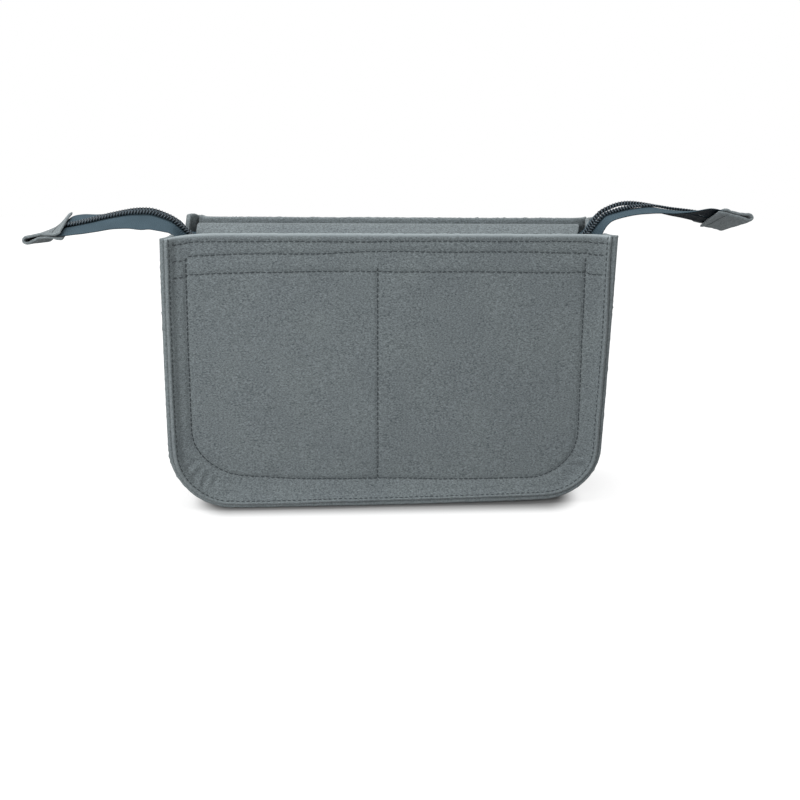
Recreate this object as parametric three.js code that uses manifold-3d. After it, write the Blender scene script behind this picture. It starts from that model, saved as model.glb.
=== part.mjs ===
import * as THREE from 'three';
import { mergeVertices } from 'three/addons/utils/BufferGeometryUtils.js';
import Module from 'manifold-3d';

const wasm = await Module();
wasm.setup();

// Millimetres. X runs along the zip, the front faces -Y, Z is up, the base stands on Z = 0.

// Felt box
const RIM_LENGTH = 230;
const BAG_HEIGHT = 148;
const BAG_DEPTH = 50;
const CORNER_RADIUS = 30;
const FELT = 2.5;
const FIT = 0.3;

// Seam flange that stands out of every edge between a panel and the gusset
const FLANGE_LENGTH = 3.5;
const FLANGE_ANGLE = Math.PI / 4;
const FLARE_RADIUS = 4;
const WALL_RADIUS = 6;
const DIP_DEPTH = 12;

// Slip pockets on the inside
const POCKET_FELT = 2;
const POCKET_INSET = 9.5;
const POCKET_RAISE = 2;
const POCKET_CORNER = 30;
const POCKET_SEAM_MARGIN = 3;
const POCKET_BULGE = 7;
const DIVIDER_X = -6.5;

// Felt flaps that carry the zip
const FLAP_FELT = 2;
const FLAP_LEG = 18.5;
const FLAP_FOLD_RADIUS = 2.5;
const RIM_REVEAL = 2.2;
const FLAP_END_GAP = 4;
const FLAP_CUT = 3.5;

// Zip: tape halves, coil rows, slider
const TAPE_WIDTH = 30.6;
const TAPE = 0.6;
const TAPE_DROP = 10;
const COIL_WIDTH = 5;
const COIL_HEIGHT = 1.7;
const COIL_PITCH = 2;
const COIL_BITE = 0.5;
const ROW_SPREAD = 1.45;
const SLIDER_X = 28;
const SLIDER_LENGTH = 12;
const SLIDER_WALL = 0.6;
const SLIDER_PLATE = 0.8;
const WEDGE_HALF = 0.7;

// Crown over the slider and the pull that hangs in it
const CROWN_LENGTH = 6.8;
const CROWN_WIDTH = 2.2;
const CROWN_STRAP = 0.6;
const CROWN_SPACE = 1.7;
const PULL_LENGTH = 28;
const PULL_WIDTH = 9.6;
const PULL_THICKNESS = 1;
const PULL_HEAD = 9;

// Zip tails: where they leave the box, and their felt end tabs
const PIVOT_INSET = 2.5;
const LEFT_RISE = 2.7;
const RIGHT_RISE = 6.1;
const LEFT_GRADE = 0.54;
const RIGHT_GRADE = 0.8;
const CLIMB = 17;
const TAIL_SLIT = 0.6;
const COIL_SLIT = 3;
const TAB_FELT = 1.7;
const TAB_LENGTH = 19.5;
const TAB_WIDTH = 37;
const TAB_TUCK = 9;
const TAB_LOOP = 1.9;
const TAB_SEAM = 5;

// Sewing thread
const THREAD = 0.6;
const THREAD_HEIGHT = 0.4;
const EDGE_SEAM = 1.5;
const RIM_SEAMS = [3.8, 9.2, 19.4];
const FLAP_SEAM = 3;

// Points of a tail's middle line up to the tip of its tab: beyond the end of the box and above the rim.
const LEFT_TAIL = [
  [0.3, 4.2], [6.6, 6.6], [13, 7], [19, 6.4], [28.6, 4.2], [39, 1.4], [46, -0.2], [50.7, -0.9], [69.3, -7.2],
];
const RIGHT_TAIL = [
  [0.1, 7.8], [6.7, 10.4], [13.4, 11.4], [22.4, 11], [33.3, 9], [43, 7.6], [49.8, 6.5], [54, 5.6], [72, 2.2],
];

// How far the chain, the front half and the back half of the tape lean at those points, in degrees.
const LEFT_LEAN_ANGLE = [
  [18, 18, -11], [24, 24, -12], [25, 25, -12], [19, 19, -12], [14, 14, -8],
  [11, 12, 2], [6, 7, 7], [2, 2, 2], [-10, -10, -10],
];
const RIGHT_LEAN_ANGLE = [
  [17, 2, -14], [21, 1, -14], [14, 3, -14], [-4, 5, -12], [-8, -2, -14],
  [-14, -11, -17], [-18, -17, -19], [-20, -20, -20], [-17, -17, -17],
];

const felt = new THREE.MeshStandardMaterial({ color: 0x707a7c, roughness: 0.95, metalness: 0 });
const tapeCloth = new THREE.MeshStandardMaterial({ color: 0x344854, roughness: 0.8, metalness: 0 });
const nylon = new THREE.MeshStandardMaterial({ color: 0x1b2430, roughness: 0.4, metalness: 0 });
const gilt = new THREE.MeshStandardMaterial({ color: 0xc8b4a0, roughness: 0.25, metalness: 1 });
const thread = new THREE.MeshStandardMaterial({ color: 0x4a5254, roughness: 0.8, metalness: 0 });

const half = RIM_LENGTH / 2;
const sin = Math.sin(FLANGE_ANGLE);
const cos = Math.cos(FLANGE_ANGLE);
const panelMid = (BAG_DEPTH - FELT) / 2;
const innerFace = panelMid - FELT / 2;
const layers = FELT + FIT;
const clamp = (v) => Math.min(1, Math.max(0, v));
const smooth = (v) => clamp(v) ** 2 * (3 - 2 * clamp(v));
const V = (x, y, z) => new THREE.Vector3(x, y, z);

const group = new THREE.Group();

function add(name, geometry, material) {
  const mesh = new THREE.Mesh(geometry, material);
  mesh.name = name;
  group.add(mesh);
}

// A closed solid from two matching point lists and one list of triangles.
function sheetSolid(outer, inner, tris) {
  const count = outer.length;
  const points = [...outer, ...inner];
  const faces = [];
  const edges = new Map();
  for (const [a, b, c] of tris) {
    faces.push([a, b, c], [count + a, count + c, count + b]);
    for (const [p, q] of [[a, b], [b, c], [c, a]]) {
      if (edges.has(`${q}_${p}`)) edges.delete(`${q}_${p}`);
      else edges.set(`${p}_${q}`, [p, q]);
    }
  }
  for (const [p, q] of edges.values()) {
    faces.push([q, p, count + p], [q, count + p, count + q]);
  }
  let volume = 0;
  const cross = V(0, 0, 0);
  for (const [a, b, c] of faces) volume += points[a].dot(cross.crossVectors(points[b], points[c]));
  const index = faces.flatMap(([a, b, c]) => (volume > 0 ? [a, b, c] : [a, c, b]));
  const geometry = new THREE.BufferGeometry();
  const flat = points.flatMap((p) => [p.x, p.y, p.z]);
  geometry.setAttribute('position', new THREE.Float32BufferAttribute(flat, 3));
  geometry.setIndex(index);
  return geometry;
}

function gridTris(rows, columns) {
  const tris = [];
  for (let r = 0; r + 1 < rows; r += 1) {
    for (let c = 0; c + 1 < columns; c += 1) {
      const a = r * columns + c;
      tris.push([a, a + 1, a + columns + 1], [a, a + columns + 1, a + columns]);
    }
  }
  return tris;
}

// A bar of thread along stations that each give a place, a sideways and an upward direction.
function threadBar(stations) {
  const top = [];
  const bottom = [];
  for (const side of [-0.5, 0.5]) {
    for (const { place, across, up } of stations) {
      const edge = place.clone().addScaledVector(across, side * THREAD);
      top.push(edge.clone().addScaledVector(up, FIT + THREAD_HEIGHT));
      bottom.push(edge.clone().addScaledVector(up, FIT));
    }
  }
  return sheetSolid(top, bottom, gridTris(2, stations.length));
}

// Stops of the U-shaped edge, each a point of the inner U and the way out to the edge.
function edgeStops(sideHeights, cornerSteps, bottomSteps) {
  const inner = half - CORNER_RADIUS;
  const left = sideHeights.map((z) => ({ x: -inner, z, ux: -1, uz: 0 }));
  for (let k = 0; k <= cornerSteps; k += 1) {
    const a = (Math.PI / 2) * (k / cornerSteps);
    left.push({ x: -inner, z: CORNER_RADIUS, ux: -Math.cos(a), uz: -Math.sin(a) });
  }
  const bottom = [];
  for (let k = 1; k < bottomSteps; k += 1) {
    bottom.push({ x: inner * (2 * k / bottomSteps - 1), z: CORNER_RADIUS, ux: 0, uz: -1 });
  }
  const right = left.map((p) => ({ ...p, x: -p.x, ux: -p.ux })).reverse();
  return [...left, ...bottom, ...right];
}

const onEdge = (stop, s, y) => V(
  stop.x + stop.ux * (CORNER_RADIUS - s), y, stop.z + stop.uz * (CORNER_RADIUS - s),
);

// Panel section: inboard distance s, outward height n over the flat, unit normal of the face.
const panelTip = (layers + FELT / 2) * sin;
const earHeight = FLANGE_LENGTH * sin + FLARE_RADIUS * (1 - cos);
const flareStart = panelTip + FLANGE_LENGTH * cos;
const flatStart = flareStart + FLARE_RADIUS * sin;

function panelSection() {
  const rows = [{ s: panelTip, n: earHeight, ns: sin, nn: cos }];
  const steps = 3;
  for (let k = 0; k <= steps; k += 1) {
    const a = FLANGE_ANGLE * (1 - k / steps);
    rows.push({
      s: flareStart + FLARE_RADIUS * (sin - Math.sin(a)),
      n: FLARE_RADIUS * (1 - Math.cos(a)),
      ns: Math.sin(a),
      nn: Math.cos(a),
    });
  }
  return rows;
}

function panel(sign) {
  const stops = edgeStops([BAG_HEIGHT], 8, 2);
  const rows = panelSection();
  const face = [];
  const lining = [];
  for (const { s, n, ns, nn } of rows) {
    for (const stop of stops) {
      face.push(onEdge(stop, s + ns * FELT / 2, sign * (panelMid + n + nn * FELT / 2)));
      lining.push(onEdge(stop, s - ns * FELT / 2, sign * (panelMid + n - nn * FELT / 2)));
    }
  }
  const tris = gridTris(rows.length, stops.length);
  const first = (rows.length - 1) * stops.length;
  const ring = face.slice(first).map((p) => new THREE.Vector2(p.x, p.z));
  const turned = THREE.ShapeUtils.area(ring) < 0;
  const contour = turned ? [...ring].reverse() : ring;
  for (const tri of THREE.ShapeUtils.triangulateShape(contour, [])) {
    const [a, b, c] = tri.map((i) => first + (turned ? ring.length - 1 - i : i));
    tris.push(turned ? [a, b, c] : [a, b, c]);
  }
  return sheetSolid(face, lining, tris);
}

// Gusset section, from the flange to the middle of the wall.
const gussetTip = { s: panelTip - layers * sin, n: earHeight - layers * cos };
const wallTurn = {
  s: gussetTip.s + FLANGE_LENGTH * cos - WALL_RADIUS * sin,
  n: gussetTip.n - FLANGE_LENGTH * sin - WALL_RADIUS * cos,
};
const wallMid = wallTurn.s + WALL_RADIUS;
const wallInner = wallMid + FELT / 2;
const insideHalf = half - wallInner;

// The tape lies level under the flaps and climbs over the end walls to the tail's bend.
const tapeZ = BAG_HEIGHT - TAPE_DROP;
const pivotX = half - PIVOT_INSET;
const flapEnd = insideHalf - FLAP_END_GAP;
const flapTip = flapEnd - FLAP_CUT;

// A smooth climb from the level tape to the bend of a tail.
function climbing(x, start) {
  const [rise, grade] = x < 0 ? [LEFT_RISE, LEFT_GRADE] : [RIGHT_RISE, RIGHT_GRADE];
  const t = clamp((Math.abs(x) - start) / (pivotX - start));
  const climb = (BAG_HEIGHT + rise - tapeZ) * (3 * t * t - 2 * t ** 3);
  return tapeZ + climb + grade * (pivotX - start) * (t ** 3 - t * t);
}

// The chain rises between the flaps before it leaves; the tape's outer edges rise past the flaps.
const climbStart = pivotX - CLIMB;
const tapeHeight = (x) => climbing(x, climbStart);
const tapeBase = (x) => climbing(x, flapEnd + 1);
const rimUnder = (x) => Math.min(BAG_HEIGHT, tapeBase(x) - TAPE - 2 * FIT);
const tapeHalf = TAPE_WIDTH / 2;

function gusset() {
  const rows = [{ ...gussetTip, a: FLANGE_ANGLE }];
  const steps = 3;
  for (let k = 0; k <= steps; k += 1) {
    const a = FLANGE_ANGLE + (Math.PI / 2 - FLANGE_ANGLE) * (k / steps);
    rows.push({
      s: wallTurn.s + WALL_RADIUS * Math.sin(a),
      n: wallTurn.n + WALL_RADIUS * Math.cos(a),
      a,
    });
  }
  const dipStart = panelMid + gussetTip.n - FLANGE_LENGTH * sin;
  const dipFull = tapeHalf + 2 * FIT;
  rows.push({ s: wallMid, n: dipFull - panelMid, a: Math.PI / 2 });
  rows.push({ s: wallMid, n: dipFull / 2 - panelMid, a: Math.PI / 2 });
  const front = rows.map((r) => ({ ...r, sign: -1 }));
  const back = rows.map((r) => ({ ...r, sign: 1 })).reverse();
  const stops = edgeStops([BAG_HEIGHT, BAG_HEIGHT - DIP_DEPTH, BAG_HEIGHT / 2], 7, 2);
  const outside = [];
  const inside = [];
  const last = stops.length - 1;
  for (const { s, n, a, sign } of [...front, ...back]) {
    const ns = Math.sin(a) * FELT / 2;
    const nn = Math.cos(a) * FELT / 2;
    const dip = smooth((dipStart - panelMid - n) / (dipStart - dipFull));
    stops.forEach((stop, i) => {
      const atRim = i === 0 || i === last;
      const drop = atRim ? dip * (BAG_HEIGHT - rimUnder(Math.sign(stop.x) * insideHalf)) : 0;
      const at = { ...stop, z: stop.z - drop };
      outside.push(onEdge(at, s - ns, sign * (panelMid + n - nn)));
      inside.push(onEdge(at, s + ns, sign * (panelMid + n + nn)));
    });
  }
  return sheetSolid(outside, inside, gridTris(front.length * 2, stops.length));
}

// Slip pocket sewn to a panel's inside; cells are the spaces between its upright seams.
const pocketHalf = half - POCKET_INSET;
const pocketTop = BAG_HEIGHT - RIM_REVEAL - FLAP_LEG - 2 * FIT - 0.4;
const pocketBase = POCKET_INSET + POCKET_RAISE;

function pocketBottom(x) {
  const over = Math.max(0, Math.abs(x) - (pocketHalf - POCKET_CORNER));
  const drop = Math.sqrt(Math.max(0, POCKET_CORNER ** 2 - over ** 2));
  return pocketBase + POCKET_CORNER - drop;
}

function pocket(sign, seams) {
  const columns = [-pocketHalf];
  const steps = 18 / (seams.length - 1);
  for (let c = 0; c + 1 < seams.length; c += 1) {
    for (let k = c ? 1 : 0; k <= steps; k += 1) {
      columns.push(seams[c] + (seams[c + 1] - seams[c]) * (k / steps));
    }
  }
  columns.push(pocketHalf);
  const rows = 7;
  const face = [];
  const lining = [];
  for (let r = 0; r < rows; r += 1) {
    for (const x of columns) {
      const low = pocketBottom(x);
      const z = low + (pocketTop - low) * (r / (rows - 1));
      const cell = seams.findIndex((s, i) => i + 1 < seams.length && x >= s && x <= seams[i + 1]);
      const along = cell < 0 ? 0 : (x - seams[cell]) / (seams[cell + 1] - seams[cell]);
      const up = clamp((z - low - POCKET_SEAM_MARGIN) / (pocketTop - low - POCKET_SEAM_MARGIN));
      const bulge = POCKET_BULGE * Math.sin(Math.PI * along) * up ** 1.5;
      const depth = innerFace - FIT - bulge;
      face.push(V(x, sign * depth, z));
      lining.push(V(x, sign * (depth - POCKET_FELT), z));
    }
  }
  return sheetSolid(face, lining, gridTris(rows, columns.length));
}

// Zip flap: a leg against the panel, a fold below the rim, a slope down to the zip.
const coilHalf = COIL_WIDTH / 2;
const sliderHalf = coilHalf + ROW_SPREAD + FIT + SLIDER_WALL;
const flapEdge = sliderHalf + FIT + FLAP_FELT / 4;
const legMid = innerFace - FIT - FLAP_FELT / 2;
const foldTop = BAG_HEIGHT - RIM_REVEAL - FLAP_FELT / 2;
const flapLow = tapeZ + TAPE / 2 + FIT + FLAP_FELT / 2;
const flapSlope = Math.atan2(foldTop - flapLow, legMid - FLAP_FOLD_RADIUS - flapEdge);

function flap(sign) {
  const turn = { y: legMid - FLAP_FOLD_RADIUS, z: foldTop - FLAP_FOLD_RADIUS };
  const section = [{ y: legMid, z: BAG_HEIGHT - RIM_REVEAL - FLAP_LEG, a: 0 }];
  const steps = 4;
  for (let k = 0; k <= steps; k += 1) {
    const a = (Math.PI / 2 + flapSlope) * (k / steps);
    section.push({
      y: turn.y + FLAP_FOLD_RADIUS * Math.cos(a), z: turn.z + FLAP_FOLD_RADIUS * Math.sin(a), a,
    });
  }
  section.push({ y: flapEdge, z: flapLow, a: Math.PI / 2 + flapSlope, end: flapTip });
  const face = [];
  const lining = [];
  for (const way of [-1, 1]) {
    for (const { y, z, a, end = flapEnd } of section) {
      const x = way * end;
      const dy = Math.cos(a) * FLAP_FELT / 2;
      const dz = Math.sin(a) * FLAP_FELT / 2;
      face.push(V(x, sign * (y + dy), z + dz));
      lining.push(V(x, sign * (y - dy), z - dz));
    }
  }
  return sheetSolid(face, lining, gridTris(2, section.length));
}

// Tape halves. Right of the slider the two rows stand apart.
const tapeInner = coilHalf - 1.2;
const tapeFlat = flapEdge;

function rowSpread(x) {
  const opening = smooth((x - SLIDER_X + SLIDER_LENGTH * 5 / 12) / (SLIDER_LENGTH * 2 / 3));
  const apart = SLIDER_X + SLIDER_LENGTH * 2.5;
  const closing = smooth((x - apart) / (flapTip - apart));
  return ROW_SPREAD * opening * (1 - 0.7 * closing);
}

// Frame of the tape at x: place on the middle line and the upward direction.
function tapeFrame(x) {
  const slope = (tapeHeight(x + 0.05) - tapeHeight(x - 0.05)) / 0.1;
  const up = V(-slope, 0, 1).normalize();
  return { place: V(x, 0, tapeHeight(x)), up, across: V(0, 1, 0) };
}

const mainStations = [];
for (let k = 0; k <= 14; k += 1) {
  mainStations.push(climbStart + (pivotX - TAIL_SLIT / 2 - climbStart) * (k / 14));
}
const openStops = [-7, -4, -2, 0, 2, 4, 8, 30, 46].map((d) => SLIDER_X + d * SLIDER_LENGTH / 12);
const allStops = [...mainStations.map((x) => -x).reverse(), -40, ...openStops, ...mainStations];

// A tape half: a strip under the coil that leans with the chain, then cloth that leans on its own.
function tapeHalfSolid(frames, sign) {
  const upper = [];
  const lower = [];
  for (const { place, up, across, spread, cloth } of frames) {
    const strip = coilHalf + FIT + spread;
    for (const v of [tapeInner + spread, strip, tapeFlat, tapeHalf]) {
      const mid = place.clone().addScaledVector(across, sign * Math.min(v, strip));
      const normal = v > strip ? cloth(mid, sign, v - strip) : up;
      upper.push(mid.clone().addScaledVector(normal, TAPE / 2));
      lower.push(mid.clone().addScaledVector(normal, -TAPE / 2));
    }
  }
  return sheetSolid(upper, lower, gridTris(frames.length, 4));
}

function mainTape(sign) {
  const frames = allStops.map((x) => {
    const fade = 1 - smooth((Math.abs(x) - flapEnd) / (pivotX - flapEnd));
    const cloth = (mid, side, run) => {
      const rise = fade * Math.max(0, Math.abs(mid.y) + run - tapeFlat) * Math.tan(flapSlope);
      mid.setY(mid.y + side * run).setZ(tapeBase(x) + rise);
      return V(0, 0, 1);
    };
    return { ...tapeFrame(x), spread: rowSpread(x), cloth };
  });
  return tapeHalfSolid(frames, sign);
}

// A coil row: a heel line and a row of teeth whose gaps take the other row's teeth.
const coilLow = TAPE / 2 + FIT;
const coilTop = coilLow + COIL_HEIGHT;

function coilRow(frameAt, start, teeth, sign) {
  const upper = [];
  const lower = [];
  const put = (l, v) => {
    const { place, up, across, spread } = frameAt(l);
    const mid = place.clone().addScaledVector(across, v + sign * spread);
    upper.push(mid.clone().addScaledVector(up, coilTop));
    lower.push(mid.clone().addScaledVector(up, coilLow));
  };
  const tris = [];
  for (let i = 0; i <= teeth; i += 1) {
    const l = start + i * COIL_PITCH;
    put(l, sign * coilHalf);
    put(l, sign * FIT / 2 - COIL_BITE);
    if (i === teeth) break;
    put(l + COIL_PITCH / 2, sign * FIT / 2 + COIL_BITE);
    const h = i * 3;
    tris.push([h, h + 3, h + 2], [h, h + 2, h + 1], [h + 3, h + 4, h + 2]);
  }
  return sheetSolid(upper, lower, tris);
}

// Tails: a middle line that leaves the box, with the tape rolled and drooping from point to point.
function between(stops, out) {
  let [o0, v0] = [-PIVOT_INSET, 0];
  for (const [o1, v1] of stops) {
    if (out < o1) return v0 + (v1 - v0) * clamp((out - o0) / (o1 - o0));
    [o0, v0] = [o1, v1];
  }
  return v0;
}

function tailPath(sign, points, angles) {
  const rise = sign < 0 ? LEFT_RISE : RIGHT_RISE;
  const line = [V(sign * pivotX, 0, BAG_HEIGHT + rise)];
  for (const [out, up] of points) line.push(V(sign * (half + out), 0, BAG_HEIGHT + up));
  const curve = new THREE.CatmullRomCurve3(line, false, 'centripetal');
  curve.arcLengthDivisions = 800;
  const whole = curve.getLength();
  const length = whole - TAB_LENGTH;
  const [rolls, fronts, backs] = [0, 1, 2].map((i) => points.map((p, k) => [p[0], angles[k][i]]));
  const frame = (l) => {
    const t = clamp(l / whole);
    const tangent = curve.getTangentAt(t);
    const place = curve.getPointAt(t);
    const out = Math.abs(place.x) - half;
    const level = V(0, 1, 0);
    const rising = tangent.clone().cross(level).multiplyScalar(sign).normalize();
    const leaning = (stops) => {
      const angle = (Math.PI / 180) * between(stops, out);
      return level.clone().multiplyScalar(Math.cos(angle)).addScaledVector(rising, Math.sin(angle));
    };
    const normal = (across) => tangent.clone().cross(across).multiplyScalar(sign).normalize();
    const across = leaning(rolls);
    const cloth = (mid, side, run) => {
      const way = leaning(side < 0 ? fronts : backs);
      mid.addScaledVector(way, side * run);
      return normal(way);
    };
    const gape = ROW_SPREAD * (0.3 + 0.6 * Math.sin(Math.PI * clamp(l / length)));
    return { place, tangent, across, up: normal(across), cloth, spread: sign > 0 ? gape : 0 };
  };
  return { frame, length };
}

function tailTape(path, sign) {
  const frames = [];
  const steps = 24;
  for (let k = 0; k <= steps; k += 1) {
    const free = TAIL_SLIT / 2 + (path.length - TAIL_SLIT / 2) * (k / steps);
    frames.push(path.frame(free));
  }
  for (let k = 1; k <= 3; k += 1) frames.push(path.frame(path.length + TAB_TUCK * (k / 3)));
  return tapeHalfSolid(frames, sign);
}

// End tab: one felt strip folded round the tape's end, with an open loop at the fold.
function endTab(path) {
  const leaf = TAPE / 2 + FIT + TAB_FELT / 2;
  const shut = TAB_FELT / 2 + FIT / 2;
  const tip = TAB_LENGTH - TAB_FELT / 2;
  const line = [[0, leaf], [TAB_TUCK / 3, leaf], [TAB_TUCK * 2 / 3, leaf], [TAB_TUCK + FIT, leaf]];
  line.push([TAB_TUCK + 2.6, shut], [tip - 4, TAB_LOOP * 0.75]);
  line.push([tip - 2, TAB_LOOP], [tip - 0.7, TAB_LOOP * 0.7], [tip, 0]);
  const whole = [...line, ...line.slice(0, -1).reverse().map(([l, h]) => [l, -h])];
  const columns = [-3, -2, -1, 0, 1, 2, 3].map((k) => k / 6);
  const outside = [];
  const inside = [];
  whole.forEach(([l, h], i) => {
    const [l0, h0] = whole[Math.max(0, i - 1)];
    const [l1, h1] = whole[Math.min(whole.length - 1, i + 1)];
    const span = Math.hypot(l1 - l0, h1 - h0);
    const nl = -(h1 - h0) / span;
    const nh = (l1 - l0) / span;
    for (const w of columns) {
      for (const [side, list] of [[0.5, outside], [-0.5, inside]]) {
        const { place, tangent, across, up } = path.frame(path.length + l);
        const at = place.addScaledVector(tangent, nl * side * TAB_FELT);
        at.addScaledVector(up, h + nh * side * TAB_FELT).addScaledVector(across, w * TAB_WIDTH);
        list.push(at);
      }
    }
  });
  return sheetSolid(outside, inside, gridTris(whole.length, columns.length));
}

function tabSeam(path) {
  const { place, tangent, across, up } = path.frame(path.length + TAB_SEAM);
  place.addScaledVector(up, TAPE / 2 + FIT + TAB_FELT);
  const ends = [-0.5, 0.5].map((w) => ({
    place: place.clone().addScaledVector(across, w * (TAB_WIDTH - 3)), across: tangent, up,
  }));
  return threadBar(ends);
}

// Solid geometry for the slider.
function toManifold(geometry) {
  geometry.deleteAttribute('normal');
  geometry.deleteAttribute('uv');
  const welded = mergeVertices(geometry, 1e-4);
  return new wasm.Manifold(new wasm.Mesh({
    numProp: 3,
    vertProperties: new Float32Array(welded.attributes.position.array),
    triVerts: new Uint32Array(welded.index.array),
  }));
}

function fromManifold(solid) {
  const mesh = solid.getMesh();
  const geometry = new THREE.BufferGeometry();
  geometry.setAttribute('position', new THREE.Float32BufferAttribute(mesh.vertProperties, 3));
  geometry.setIndex([...mesh.triVerts]);
  return geometry;
}

// A plan outline raised from one height to another.
function prism(points, low, high) {
  const shape = new THREE.Shape(points.map(([x, y]) => new THREE.Vector2(x, y)));
  const geometry = new THREE.ExtrudeGeometry(shape, { depth: high - low, bevelEnabled: false });
  return geometry.translate(0, 0, low);
}

const mirrored = (points) => [...points, ...points.map(([x, y]) => [x, -y]).reverse()];
const plateLow = coilTop + FIT;
const plateTop = plateLow + SLIDER_PLATE;
const narrow = coilHalf + FIT + SLIDER_WALL;

function sliderBody() {
  const end = SLIDER_LENGTH / 2;
  const shoulder = end * 0.5;
  const outline = mirrored([
    [-end, narrow - 0.8], [-end + 0.8, narrow], [shoulder, sliderHalf],
    [end - 0.8, sliderHalf], [end, sliderHalf - 0.8],
  ]);
  const channel = mirrored([
    [-end - 1, narrow - SLIDER_WALL], [-end + 0.8, narrow - SLIDER_WALL],
    [shoulder, sliderHalf - SLIDER_WALL], [end + 1, sliderHalf - SLIDER_WALL],
  ]);
  const wedge = mirrored([[0.5, 0.05], [shoulder, WEDGE_HALF], [end - 1, WEDGE_HALF]]);
  const slotTop = TAPE / 2 + FIT;
  const under = -TAPE / 2 - FIT;
  const cap = toManifold(prism(outline, slotTop, plateTop));
  const hollow = toManifold(prism(channel, slotTop - 1, plateLow));
  const sole = toManifold(prism(outline, under - SLIDER_PLATE, under));
  const post = toManifold(prism(wedge, under - SLIDER_PLATE / 2, plateLow + SLIDER_PLATE / 2));
  const body = cap.subtract(hollow).add(sole).add(post);
  return fromManifold(body).translate(SLIDER_X, 0, tapeZ);
}

// Crown: an arch whose legs stand on the slider's plate.
const crownLow = plateTop + FIT;
const barHeight = plateTop + CROWN_SPACE / 2;

function crown() {
  const out = CROWN_LENGTH / 2;
  const inn = out - CROWN_STRAP;
  const under = plateTop + CROWN_SPACE;
  const top = under + CROWN_STRAP;
  const shape = new THREE.Shape();
  const path = [
    [-out, crownLow], [-out, top - 1], [-out + 1, top], [out - 1, top], [out, top - 1],
    [out, crownLow], [inn, crownLow], [inn, under - 0.5], [inn - 0.5, under],
    [-inn + 0.5, under], [-inn, under - 0.5], [-inn, crownLow],
  ];
  shape.setFromPoints(path.map(([x, z]) => new THREE.Vector2(x, z)));
  const geometry = new THREE.ExtrudeGeometry(shape, { depth: CROWN_WIDTH, bevelEnabled: false });
  geometry.rotateX(Math.PI / 2).translate(SLIDER_X, CROWN_WIDTH / 2, tapeZ);
  return fromManifold(toManifold(geometry));
}

// Pull: a flat drop with a bar in the crown, an eye round the crown's leg and a long slot.
function pull() {
  const bar = PULL_THICKNESS / 2;
  const eyeHalf = CROWN_WIDTH / 2 + FIT + 0.1;
  const eyeEnd = CROWN_LENGTH / 2 + 1;
  const wide = PULL_WIDTH / 2;
  const head = PULL_LENGTH - wide;
  const rim = [[bar, eyeHalf + 0.6], [0, eyeHalf + 1.1], [-eyeEnd, eyeHalf + 1]];
  rim.push([-eyeEnd - 3, eyeHalf + 0.4], [-head * 0.6, wide * 0.72], [-head + 1.5, wide * 0.98]);
  for (let k = 0; k <= 5; k += 1) {
    const a = (Math.PI / 2) * (1 - k / 5) + 0.02;
    rim.push([-head - wide * Math.cos(a), wide * Math.sin(a)]);
  }
  const shape = new THREE.Shape(mirrored(rim).map(([x, y]) => new THREE.Vector2(x, y)));
  const eye = mirrored([[-bar, eyeHalf], [-eyeEnd + 0.6, eyeHalf], [-eyeEnd, eyeHalf - 0.6]]);
  const slotEnd = PULL_LENGTH - PULL_HEAD;
  const slot = mirrored([[-eyeEnd - 2.4, 0.5], [-slotEnd + 1, wide * 0.36], [-slotEnd, wide * 0.25]]);
  for (const hole of [eye, slot]) {
    shape.holes.push(new THREE.Path(hole.map(([x, y]) => new THREE.Vector2(x, y))));
  }
  const geometry = new THREE.ExtrudeGeometry(shape, { depth: PULL_THICKNESS, bevelEnabled: false });
  const lie = Math.asin((barHeight - coilTop - FIT - bar) / PULL_LENGTH);
  geometry.translate(0, 0, -bar).rotateY(-lie).translate(SLIDER_X, 0, tapeZ + barHeight);
  return fromManifold(toManifold(geometry));
}

// Seams on the panels: along the flange, round the pockets, between them and below the rim.
function edgeSeam(sign) {
  const stations = edgeStops([BAG_HEIGHT - FIT], 10, 2).map((stop) => {
    const s = panelTip + EDGE_SEAM * cos + sin * FELT / 2;
    const n = earHeight - EDGE_SEAM * sin + cos * FELT / 2;
    const across = V(-stop.ux * cos, -sign * sin, -stop.uz * cos);
    const up = V(-stop.ux * sin, sign * cos, -stop.uz * sin);
    return { place: onEdge(stop, s, sign * (panelMid + n)), across, up };
  });
  return threadBar(stations);
}

function pocketSeam(sign) {
  const turn = POCKET_CORNER - POCKET_SEAM_MARGIN;
  const inward = (seamEdge - turn) / (half - CORNER_RADIUS);
  const low = pocketBase + POCKET_SEAM_MARGIN + turn;
  const stations = edgeStops([pocketTop], 8, 2).map((stop) => ({
    place: V(stop.x * inward + stop.ux * turn, sign * BAG_DEPTH / 2, Math.max(stop.z, low) + stop.uz * turn),
    across: V(stop.ux, 0, stop.uz),
    up: V(0, sign, 0),
  }));
  return threadBar(stations);
}

function panelLine(sign, from, to, across) {
  const ends = [from, to].map(([x, z]) => ({
    place: V(x, sign * BAG_DEPTH / 2, z), across, up: V(0, sign, 0),
  }));
  return threadBar(ends);
}

function flapSeam(sign) {
  const y = flapEdge + FLAP_SEAM;
  const z = flapLow + (FLAP_SEAM * Math.tan(flapSlope)) + FLAP_FELT / 2 / Math.cos(flapSlope);
  const across = V(0, Math.cos(flapSlope), sign * Math.sin(flapSlope));
  const up = V(0, -sign * Math.sin(flapSlope), Math.cos(flapSlope));
  const ends = [-1, 1].map((e) => ({ place: V(e * (flapTip - 1), sign * y, z), across, up }));
  return threadBar(ends);
}

// Assembly
const seamEdge = half - POCKET_INSET - POCKET_SEAM_MARGIN;
const sides = [['front', -1, [-seamEdge, DIVIDER_X, seamEdge]], ['back', 1, [-seamEdge, seamEdge]]];

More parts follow.
